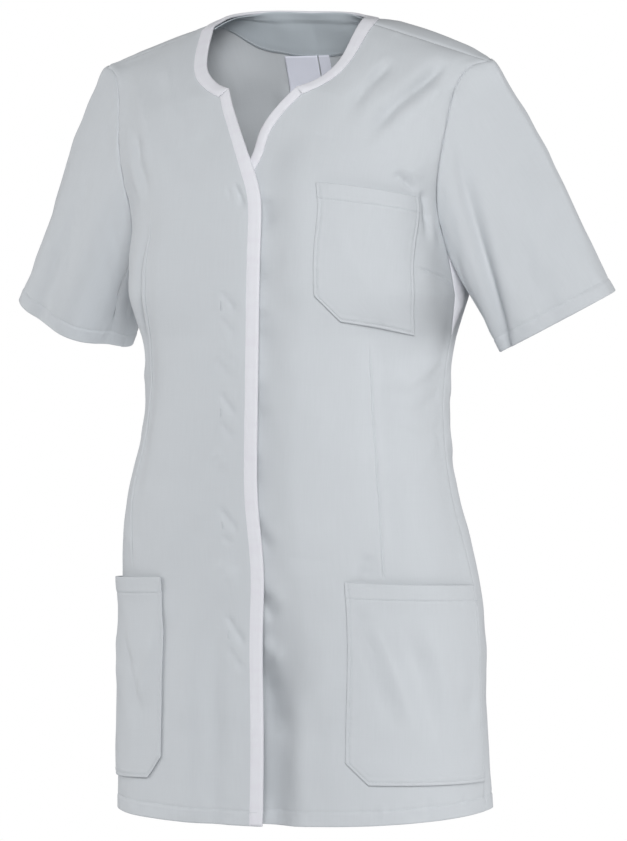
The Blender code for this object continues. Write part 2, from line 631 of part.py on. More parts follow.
def grid_tree(grids):
    points, faces = [], []
    for grid in grids:
        rows, columns = grid.shape[:2]
        start = len(points)
        points += [Vector(point) for point in grid.reshape(-1, 3)]
        for i in range(rows - 1):
            for j in range(columns - 1):
                a = start + i * columns + j
                faces += halves((a, a + columns, a + columns + 1, a + 1), j, columns)
    return BVHTree.FromPolygons(points, faces)


def laid(tree, point):
    """The nearest place on the cloth and the way out of it."""
    place, normal, _, _ = tree.find_nearest(Vector(point))
    return np.array(place), np.array(normal)


def laid_row(tree, points):
    """Places on the back for a row of points, with the ways out of the garment."""
    places, normals = [], []
    for point in points:
        place, normal = laid(tree, point)
        places.append(place)
        normals.append(normal if normal[1] > 0 or normal[2] > 0.5 else -normal)
    return np.array(places), np.array(normals)


def binding_shape(edge, normals, tree, mitres, ease=0.0):
    """A folded strip that takes in the cloth's edge; ease lifts its sewn sides off the cloth."""
    way = unit(np.gradient(edge, axis=0))
    across = unit(np.cross(way, normals))
    near = WALL / 2 + BINDING_GAP
    far = near + BINDING_WALL
    rings = []
    for i, (point, normal, over) in enumerate(zip(edge, normals, across)):
        inside, _ = laid(tree, point + over * BINDING_WIDTH / 2)
        other, _ = laid(tree, point - over * BINDING_WIDTH / 2)
        if np.linalg.norm(other - point) > np.linalg.norm(inside - point):
            over = -over
        over = over + way[i] * mitres.get(i, 0)
        outer, lining = [], []
        for side, width in ((outer, BINDING_WIDTH), (lining, BINDING_INSIDE)):
            for reach in (width, width / 2):
                place, face = laid(tree, point + over * reach)
                face = face if face @ normal > 0 else -face
                side.append((place, unit(face + normal)))
        fold, back = point - over * BINDING_GAP, point - over * (BINDING_GAP + BINDING_WALL)
        rings.append([place + face * (far + ease) for place, face in outer]
                     + [back + normal * far, back - normal * far]
                     + [place - face * (far + ease) for place, face in lining[::-1]]
                     + [place - face * (near + ease) for place, face in lining]
                     + [fold - normal * near, fold + normal * near]
                     + [place + face * (near + ease) for place, face in outer[::-1]])
    return np.array(rings)


def finer(points, steps):
    """The same line with each of its stretches cut into steps."""
    at = np.linspace(0, len(points) - 1, (len(points) - 1) * steps + 1)
    low = np.minimum(at.astype(int), len(points) - 2)
    part = (at - low)[:, None]
    return points[low] * (1 - part) + points[low + 1] * part


def strip_mesh(rings):
    """A closed solid through rings of points, capped at both ends."""
    count, sides = rings.shape[:2]
    faces = []
    for i in range(count - 1):
        for j in range(sides):
            k = (j + 1) % sides
            a, b = i * sides, (i + 1) * sides
            faces.append((a + j, b + j, b + k, a + k))
    end = (count - 1) * sides
    for start in (0, end):
        for j in range(sides // 2 - 1):
            corners = (start + j, start + j + 1, start + sides - 2 - j, start + sides - 1 - j)
            faces.append(corners if start == 0 else corners[::-1])
    return tilted(rings.reshape(-1, 3)), faces, False


def disc_mesh(centre, axis, radius, thickness, sides):
    first = unit(np.cross(axis, np.array((0, 0, 1.0))))
    second = np.cross(axis, first)
    points = []
    for lift in (-thickness / 2, thickness / 2):
        for k in range(sides):
            turn = 2 * math.pi * k / sides
            points.append(centre + axis * lift
                          + radius * (first * math.cos(turn) + second * math.sin(turn)))
    faces = [tuple(range(sides)), tuple(range(2 * sides - 1, sides - 1, -1))]
    faces += [(k, (k + 1) % sides, sides + (k + 1) % sides, sides + k) for k in range(sides)]
    return tilted(np.array(points)), faces, False


class Tunic:
    """All sheets of the garment, with normals that neighbouring sheets share at their seams."""

    def __init__(self):
        outer = front_panel("right")
        self.panels = {"left": front_panel("left", outer), "right": outer}
        self.back = back_panel()
        self.grids = {}
        across = np.linspace(0, 1, FRONT_COLUMNS + 1)
        for side, panel in self.panels.items():
            grid = panel.points(across[None, :], panel.levels()[:, None])
            self.grids["front_" + side] = grid if side == "left" else mirrored(grid)
        self.outer_front = self.panels["left"].outer_edge(self.panels["left"].levels())
        half = self.back.points(np.linspace(0, 1, BACK_COLUMNS + 1)[None, :],
                                self.back.levels()[:, None])
        # From outside the back's columns run from the wearer's left to the right.
        other = half[:, 1:] * np.array((-1, 1, 1))
        self.grids["back"] = np.concatenate((half[:, ::-1], other), axis=1)
        self.outer_back = self.back.outer_edge(self.back.levels())
        self.edge_columns()
        self.add_gussets_and_sleeves()
        self.normals = {name: grid_normals(grid, name.startswith("sleeve"))
                        for name, grid in self.grids.items()}
        self.share_normals()

    def edge_columns(self):
        """Panels end exactly on the shared edge curves, folds or not."""
        self.grids["front_left"][:, -1] = self.outer_front
        self.grids["front_right"][:, 0] = self.outer_front * np.array((-1, 1, 1))
        self.grids["back"][:, 0] = self.outer_back
        self.grids["back"][:, -1] = self.outer_back * np.array((-1, 1, 1))

    def add_gussets_and_sleeves(self):
        front, back = self.panels["left"], self.back
        first = int(np.argmin(np.abs(front.levels() - front.knots[front.under])))
        tip = front.names.index("under bust")
        last = int(np.argmin(np.abs(front.levels() - front.knots[tip])))
        start = int(np.argmin(np.abs(back.levels() - back.knots[back.under])))
        front_edge = self.outer_front[first:last + 1]
        back_edge = self.outer_back[start:start + last + 1 - first]
        gusset = gusset_grid(front_edge, back_edge)
        floor = gusset[0]
        ring = np.concatenate((floor[3::-1], self.outer_front[first - 1::-1],
                               self.outer_back[1:start], floor[:3:-1]))
        sleeve = sleeve_grid(ring)
        self.grids["gusset_left"], self.grids["gusset_right"] = gusset, mirrored(gusset)
        self.grids["sleeve_left"], self.grids["sleeve_right"] = sleeve, mirrored(sleeve)

    def share_normals(self):
        sums = {}
        for name, grid in self.grids.items():
            for place, normal in zip(grid.reshape(-1, 3), self.normals[name].reshape(-1, 3)):
                key = tuple(np.round(place * 1e5).astype(int))
                sums[key] = sums.get(key, 0) + normal
        for name, grid in self.grids.items():
            flat = self.normals[name].reshape(-1, 3)
            for i, place in enumerate(grid.reshape(-1, 3)):
                flat[i] = unit(sums[tuple(np.round(place * 1e5).astype(int))])
        self.share_shoulder_normals()

    def share_shoulder_normals(self):
        """Front and back end in one plane along the shoulder seam."""
        seam = SHOULDER_TIP - HPS
        steps = np.linspace(0, 1, SHOULDER_STEPS + 1)
        for sign, front in ((1, "front_left"), (-1, "front_right")):
            found, total = [], 0
            for name in (front, "back"):
                places, normals = self.grids[name][0], self.normals[name][0]
                share = ((places * np.array((sign, 1, 1)) - HPS) @ seam) / (seam @ seam)
                on = places[:, 0] * sign >= HPS[0] - 1e-6
                order = np.argsort(share[on])
                found.append((normals, on, share[on]))
                total = total + sampled(steps, share[on][order], normals[on][order])
            for normals, on, share in found:
                shared = unit(sampled(share, steps, total))
                tip = share > 1 - 0.5 / SHOULDER_STEPS
                shared[tip] = normals[on][tip]
                normals[on] = shared

    def cloth(self):
        for name, grid in self.grids.items():
            gusset = name.startswith("gusset")
            shape = skins(grid, self.normals[name], WALL, wrap=name.startswith("sleeve"),
                          tip=gusset)
            add_solid(name, shape, BINDING if gusset else CLOTH)

    def neck_line(self):
        """Points and normals from the right front's corner, round the back, to the left's."""
        corner = int(np.argmin(np.abs(self.panels["left"].levels()
                                      - self.panels["left"].knots[self.panels["left"].corner])))
        right = self.grids["front_right"][corner:0:-1, -1]
        right_normals = self.normals["front_right"][corner:0:-1, -1]
        left = self.grids["front_left"][1:corner + 1, 0]
        left_normals = self.normals["front_left"][1:corner + 1, 0]
        reach = round(BACK_COLUMNS * NECK_SHARE)
        band = np.s_[BACK_COLUMNS - reach:BACK_COLUMNS + reach + 1]
        back = self.grids["back"][0][band][::-1]
        back_normals = self.normals["back"][0][band][::-1]
        return (np.concatenate((right, back, left)),
                np.concatenate((right_normals, back_normals, left_normals)), corner)

    def bindings(self):
        edge, normals, corner = self.neck_line()
        for _ in range(2):
            normals[1:-1] = unit(normals[:-2] + 2 * normals[1:-1] + normals[2:])
        tree = grid_tree([self.grids[name] for name in ("front_left", "front_right", "back")])
        turn = unit(edge[0] - edge[1]) @ unit(self.grids["front_right"][corner + 1, -1] - edge[0])
        mitre = math.tan(math.acos(turn) / 2)
        edge[0] = edge[0] + unit(edge[1] - edge[0]) * MITRE_GAP
        edge[-1] = edge[-1] + unit(edge[-2] - edge[-1]) * MITRE_GAP
        edge, normals = finer(edge, NECK_STEPS), finer(normals, NECK_STEPS)
        shape = binding_shape(edge, normals, tree, {0: mitre, len(edge) - 1: -mitre}, NECK_EASE)
        add_solid("neck_binding", strip_mesh(shape), BINDING)
        for side, column in (("right", -1), ("left", 0)):
            grid = self.grids["front_" + side]
            edge, normals = grid[corner:, column].copy(), self.normals["front_" + side]
            normals = normals[corner:, column].copy()
            edge[0] = edge[0] + unit(edge[1] - edge[0]) * MITRE_GAP
            shape = binding_shape(edge, normals, grid_tree([grid]), {0: mitre})
            add_solid("edge_binding_" + side, strip_mesh(shape), BINDING)

    def pockets(self):
        for name, size in POCKETS.items():
            panel = self.panels[size["panel"]]
            drop = np.linspace(0, 1, POCKET_ROWS + 1)[:, None]
            across = np.linspace(0, 1, POCKET_COLUMNS + 1)[None, :]
            depth = size["top"] - size["foot"]
            cut = np.maximum(0, drop * depth - (depth - size["chamfer"]))
            down = panel.knots[panel.under] + UNDERARM_Z - size["top"] + drop * depth
            for _ in range(6):
                first = panel.share_of(size["inner"] + cut, down)
                last = 1 - SIDE_MARGIN
                if size["width"] is not None:
                    last = panel.share_of(size["inner"] + size["width"], down)
                share = first + (last - first) * across
                down = panel.locate(share, size["top"] - drop * depth - size["slope"] * across)
            places = panel.points(share, down)
            normals = panel.normal(share, down)
            swell = np.sin((POCKET_SWELL["top"] + POCKET_SWELL["span"] * drop) * math.pi)
            ease = POCKET_EASE * np.sin(across * math.pi) * swell
            grid = places + normals * (WALL + POCKET_GAP + np.maximum(ease, 0))[..., None]
            if size["panel"] == "right":
                grid, normals = mirrored(grid), mirrored(normals)
            add_solid(name, skins(grid, normals, WALL, drawn=False), CLOTH)

    def fly_and_studs(self):
        panel = self.panels["right"]
        z = np.linspace(FLY["top"], FLY["foot"], FLY["rows"] + 1)[:, None]
        girth = np.linspace(FLY["inner"], FLY["outer"], 4)[None, :]
        down = panel.knots[panel.under] + UNDERARM_Z - z
        share = panel.share_of(girth, down)
        down = panel.locate(share, z + 0 * share)
        places, normals = panel.points(share, down), panel.normal(share, down)
        depth = WALL / 2 + LAY_GAP + BINDING_WALL / 2
        grid = mirrored(places - normals * depth)
        add_solid("fly_strip", skins(grid, mirrored(normals), BINDING_WALL, drawn=False), CLOTH)
        for k in range(STUD["count"]):
            height = STUD["first"] - k * STUD["spacing"]
            down = np.array(panel.knots[panel.under] + UNDERARM_Z - height)
            share = panel.share_of(-STUD["x"], down)
            down = panel.locate(share, np.array(height))
            normal = panel.normal(share, down)
            low = depth + BINDING_WALL / 2 + BINDING_GAP + STUD["thickness"] / 2
            centre = panel.points(share, down) - normal * low
            flip = np.array((-1, 1, 1))
            shape = disc_mesh(centre * flip, normal * flip, STUD["radius"], STUD["thickness"],
                              STUD["sides"])
            add_solid(f"press_stud_{k + 1}", shape, METAL, 0.4, 0.8)

    def inside_neck(self):
        tree = grid_tree([self.grids["back"]])
        reach = round(BACK_COLUMNS * NECK_SHARE)
        band = np.s_[BACK_COLUMNS - reach:BACK_COLUMNS + reach + 1]
        edge = self.grids["back"][0][band]
        normals = self.normals["back"][0][band]
        way = unit(np.gradient(edge, axis=0))
        over = unit(np.cross(normals, way))
        over = over * np.where(over[:, 2:] > 0, -1, 1)
        share = np.abs(np.linspace(-1, 1, len(edge)))
        width = FACING_BAND["centre_width"] * (1 - share**2) + FACING_BAND["end_width"] * share**2
        grid, normals = [], []
        for row in np.linspace(0, 1, FACING_BAND["rows"]):
            reach = FACING_BAND["start"] + row * width
            places, faces = laid_row(tree, edge + over * reach[:, None])
            grid.append(places - faces * (WALL + FACING_GAP))
            normals.append(faces)
        grid, normals = np.array(grid), np.array(normals)
        add_solid("neck_facing", skins(grid, normals, WALL, drawn=False), FACING)
        self.labels(tree)

    def labels(self, tree):
        for name, size in LABELS.items():
            x = np.linspace(*size["x"], 4)[None, ::-1] + np.zeros((4, 1))
            z = np.linspace(*size["z"], 4)[:, None] + np.zeros((1, 4))
            places, normals = [], []
            for at_x, at_z in zip(x.ravel(), z.ravel()):
                place, normal, _, _ = tree.ray_cast(Vector((at_x, 0, at_z)), Vector((0, 1, 0)))
                normal = np.array(normal) * (1 if normal[1] > 0 else -1)
                places.append(np.array(place) - normal * (2 * WALL + FACING_GAP + LAY_GAP))
                normals.append(normal)
            grid = np.array(places).reshape(4, 4, 3)
            normals = np.array(normals).reshape(4, 4, 3)
            add_solid(name, skins(grid, normals, WALL, drawn=False), LABEL)


def main():
    for obj in list(bpy.data.objects):
        bpy.data.objects.remove(obj, do_unlink=True)
    tunic = Tunic()
    tunic.cloth()
    tunic.bindings()
    tunic.pockets()
    tunic.fly_and_studs()
    tunic.inside_neck()


main()
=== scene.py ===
import math

import bmesh
import bpy
import numpy as np
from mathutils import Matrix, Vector
from mathutils.bvhtree import BVHTree


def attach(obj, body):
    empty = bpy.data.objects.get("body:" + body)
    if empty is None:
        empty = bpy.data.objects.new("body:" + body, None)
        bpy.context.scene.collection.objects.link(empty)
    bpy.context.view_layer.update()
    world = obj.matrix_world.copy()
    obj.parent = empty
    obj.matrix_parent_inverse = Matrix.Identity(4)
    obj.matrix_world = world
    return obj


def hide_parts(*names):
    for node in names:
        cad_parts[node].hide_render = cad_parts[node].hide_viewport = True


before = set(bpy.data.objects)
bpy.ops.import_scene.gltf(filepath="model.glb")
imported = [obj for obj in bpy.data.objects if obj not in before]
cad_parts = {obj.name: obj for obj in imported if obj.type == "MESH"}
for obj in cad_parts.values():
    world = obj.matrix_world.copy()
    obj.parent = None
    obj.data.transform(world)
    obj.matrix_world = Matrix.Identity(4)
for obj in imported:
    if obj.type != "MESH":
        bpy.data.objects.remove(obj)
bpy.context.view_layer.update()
bpy.ops.object.select_all(action="DESELECT")
print("frame loaded with", len(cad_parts), "nodes")

# How the garment hangs, and how finely its sheets are meshed
tunicFit = {
    "underarm": -0.214,        # height of the gusset's front and back corners
    "gussetTip": -0.300,
    "gussetHalf": 0.028,
    "hem": -0.751,
    "underDrop": 0.0053,       # depth of the under front below the outer one
    "hemTilt": 0.025,
    "shoulderTilt": 0.10,
    "neckTilt": 0.05,
    "neckShare": 0.5,          # share of the back's columns that end at the neck
    "frontStep": 0.0025,
    "backStep": 0.0032,
    "frontGirth": 0.255,       # mean girths of half a front and half the back
    "backGirth": 0.275,
    "sleeveRows": 92,
}
clothMake = {
    "wall": 0.0008,
    "hemDepth": 0.0130,        # hem edge to its line of stitches
    "hemTurn": 0.0004,         # how much the turned hem stands out
    "hemThick": 0.0007,        # the turned layer's thickness on the inner side
    "headEase": 0.0011,        # fullness eased into the armhole at the sleeve's head
    "seamDepth": 0.0007,
    "seamWidth": 0.0013,
    "pucker": 0.00028,
    "puckerPitch": 0.0070,
    "unevenness": 0.00085,
    "unevenSize": 0.055,
}

rowColumns = ("name", "inner", "outer", "leave", "leavePull", "arrive", "arrivePull", "lift")
frontRows = (
    ("shoulder seam", 0.00, (0.1985, 0.015, -0.040), 7, 0.33, 7, 0.33, 0),
    ("collar bone", 0.30, (0.1835, 0.001, -0.047), 6, 0.33, 20, 0.33, 0.0010),
    ("yoke", 0.58, (0.1740, -0.010, -0.066), 4, 0.35, 34, 0.33, 0.0010),
    ("neck corner", 1.00, (0.1680, -0.022, -0.106), 2, 0.42, 48, 0.33, 0),
    ("open neck", (-0.0835, -0.118), (0.1620, -0.027, -0.146), 0, 0.45, 56, 0.33, 0),
    ("crossing", (-0.1015, -0.166), (0.1580, -0.019, -0.182), 0, 0.48, 66, 0.34, 0),
    ("underarm", (-0.1090, -0.214), (0.1625, -0.006, -0.214), 0, 0.52, 78, 0.36, 0),
    ("bust", (-0.1115, -0.262), (0.1640, 0.022, -0.262), 0, 0.52, 90, 0.40, 0),
    ("under bust", (-0.1125, -0.300), (0.1545, 0.024, -0.300), 0, 0.50, 90, 0.38, 0),
    ("waist", (-0.1135, -0.345), (0.1480, 0.026, -0.345), 0, 0.48, 90, 0.36, 0),
    ("below waist", (-0.1115, -0.400), (0.1515, 0.028, -0.400), 0, 0.48, 90, 0.36, 0),
    ("high hip", (-0.1085, -0.455), (0.1630, 0.029, -0.455), 0, 0.48, 90, 0.36, 0),
    ("hip", (-0.1050, -0.515), (0.1735, 0.032, -0.515), 0, 0.48, 90, 0.36, 0),
    ("low hip", (-0.1030, -0.570), (0.1785, 0.034, -0.570), 0, 0.48, 90, 0.36, 0),
    ("thigh", (-0.1030, -0.650), (0.1810, 0.037, -0.650), 0, 0.48, 90, 0.36, 0),
    ("hem", (-0.1060, -0.751), (0.1845, 0.040, -0.751), 0, 0.48, 90, 0.36, 0),
)
neckCurve = ((0.0770, 0.0000, -0.0022), (0.0745, -0.0160, -0.0190), (0.0708, -0.0310, -0.0380),
             (0.0640, -0.0425, -0.0515), (0.0535, -0.0500, -0.0605), (0.0352, -0.0600, -0.0685))
# The opening's edge: height, and distance from the centre
openingCurves = {
    "right": ((-0.0685, 0.0352), (-0.0850, 0.0280), (-0.1050, 0.0170), (-0.1330, 0.0020),
              (-0.1570, -0.0095), (-0.1720, -0.0142), (-0.1900, -0.0160), (-0.2140, -0.0160),
              (-0.2900, -0.0155), (-0.3450, -0.0168), (-0.4000, -0.0186), (-0.4550, -0.0216),
              (-0.5150, -0.0212), (-0.5700, -0.0160), (-0.6500, -0.0176), (-0.7600, -0.0182)),
    "left": ((-0.0685, 0.0352), (-0.0800, 0.0248), (-0.0950, 0.0135), (-0.1090, 0.0055),
             (-0.1290, 0.0006), (-0.1480, -0.0078), (-0.1700, -0.0180), (-0.1900, -0.0220),
             (-0.2140, -0.0220), (-0.7600, -0.0220)),
}
backRows = (
    ("top edge", (0, 0.0600, 0.0138), (0.1985, 0.015, -0.040), 0, 0.54, -84, 0.42, 0.0068),
    ("ridge", (0, 0.0680, 0.001), (0.1945, 0.032, -0.0365), -12, 0.34, 0, 0.42, 0.0270),
    ("nape", (0, 0.0820, -0.029), (0.1850, 0.053, -0.0590), -4, 0.42, -14, 0.33, 0.0135),
    ("yoke", (0, 0.0990, -0.068), (0.1740, 0.072, -0.0930), 0, 0.40, -30, 0.33, 0.0030),
    ("shoulder blade", (0, 0.1140, -0.115), (0.1650, 0.083, -0.128), 0, 0.40, -46, 0.33, 0),
    ("back armhole", (0, 0.1210, -0.165), (0.1610, 0.076, -0.172), 0, 0.44, -62, 0.34, 0),
    ("underarm", (0, 0.1225, -0.214), (0.1625, 0.050, -0.214), 0, 0.50, -80, 0.36, 0),
    ("bust", (0, 0.1200, -0.262), (0.1640, 0.022, -0.262), 0, 0.50, -90, 0.38, 0),
    ("under bust", (0, 0.1160, -0.300), (0.1545, 0.024, -0.300), 0, 0.48, -90, 0.36, 0),
    ("waist", (0, 0.1140, -0.345), (0.1480, 0.026, -0.345), 0, 0.48, -90, 0.34, 0),
    ("below waist", (0, 0.1190, -0.400), (0.1515, 0.028, -0.400), 0, 0.48, -90, 0.34, 0),
    ("high hip", (0, 0.1280, -0.455), (0.1630, 0.029, -0.455), 0, 0.48, -90, 0.34, 0),
    ("hip", (0, 0.1370, -0.515), (0.1735, 0.032, -0.515), 0, 0.48, -90, 0.34, 0),
    ("low hip", (0, 0.1430, -0.570), (0.1785, 0.034, -0.570), 0, 0.48, -90, 0.34, 0),
    ("thigh", (0, 0.1480, -0.650), (0.1810, 0.037, -0.650), 0, 0.48, -90, 0.34, 0),
    ("hem", (0, 0.1510, -0.751), (0.1845, 0.040, -0.751), 0, 0.48, -90, 0.34, 0),
)
# How far the worn cloth leans to the wearer's left at each height
sway = ((0.030, 0.0024), (-0.050, 0.0024), (-0.150, 0.0036), (-0.250, 0.0052),
        (-0.345, 0.0035), (-0.400, 0.0000), (-0.455, -0.0035), (-0.515, 0.0010),
        (-0.570, 0.0045), (-0.650, 0.0035), (-0.760, 0.0035))
neckSide = np.array(neckCurve[0])
shoulderTip = np.array(frontRows[0][2])

# Soft folds: from and to as (girth, height), half width, and height, negative for a trough
foldColumns = ("start", "end", "halfWidth", "height")
frontFolds = {
    "left": (
        ((0.095, -0.030), (0.060, -0.125), 0.019, 0.0022),
        ((0.160, -0.045), (0.085, -0.150), 0.020, 0.0026),
        ((0.128, -0.300), (0.150, -0.535), 0.016, -0.0028),
        ((0.195, -0.300), (0.165, -0.400), 0.016, 0.0020),
        ((0.050, -0.520), (0.040, -0.735), 0.022, -0.0040),
        ((0.105, -0.560), (0.120, -0.735), 0.030, 0.0026),
        ((0.075, -0.380), (0.060, -0.520), 0.022, 0.0016),
    ),
    "right": (
        ((0.100, -0.032), (0.062, -0.130), 0.019, 0.0020),
        ((0.140, -0.060), (0.100, -0.170), 0.020, 0.0020),
        ((0.118, -0.190), (0.148, -0.535), 0.016, -0.0030),
        ((0.195, -0.290), (0.160, -0.410), 0.016, 0.0018),
        ((0.060, -0.540), (0.055, -0.735), 0.024, 0.0026),
        ((0.125, -0.590), (0.110, -0.735), 0.020, -0.0022),
    ),
}
backFolds = (
    ((0.095, -0.290), (0.085, -0.520), 0.018, -0.0030),
    ((0.000, -0.340), (0.010, -0.480), 0.030, -0.0035),
    ((0.130, -0.075), (0.085, -0.170), 0.020, 0.0022),
    ((0.150, -0.380), (0.060, -0.410), 0.018, 0.0020),
    ((0.050, -0.560), (0.055, -0.735), 0.026, 0.0030),
    ((0.135, -0.560), (0.145, -0.735), 0.022, 0.0024),
)
# Long darts as (girth, height), the share their mesh columns start from, and the side dart's
# heights and the step of the fine rows across it
dartCut = {
    "left": ((0.120, -0.304), (0.128, -0.377), (0.137, -0.451), (0.133, -0.524)),
    "right": ((0.117, -0.177), (0.127, -0.300), (0.149, -0.438), (0.146, -0.490),
              (0.143, -0.524)),
    "share": 0.58, "sideTop": -0.2320, "sideFoot": -0.2560, "fine": 0.0008,
}
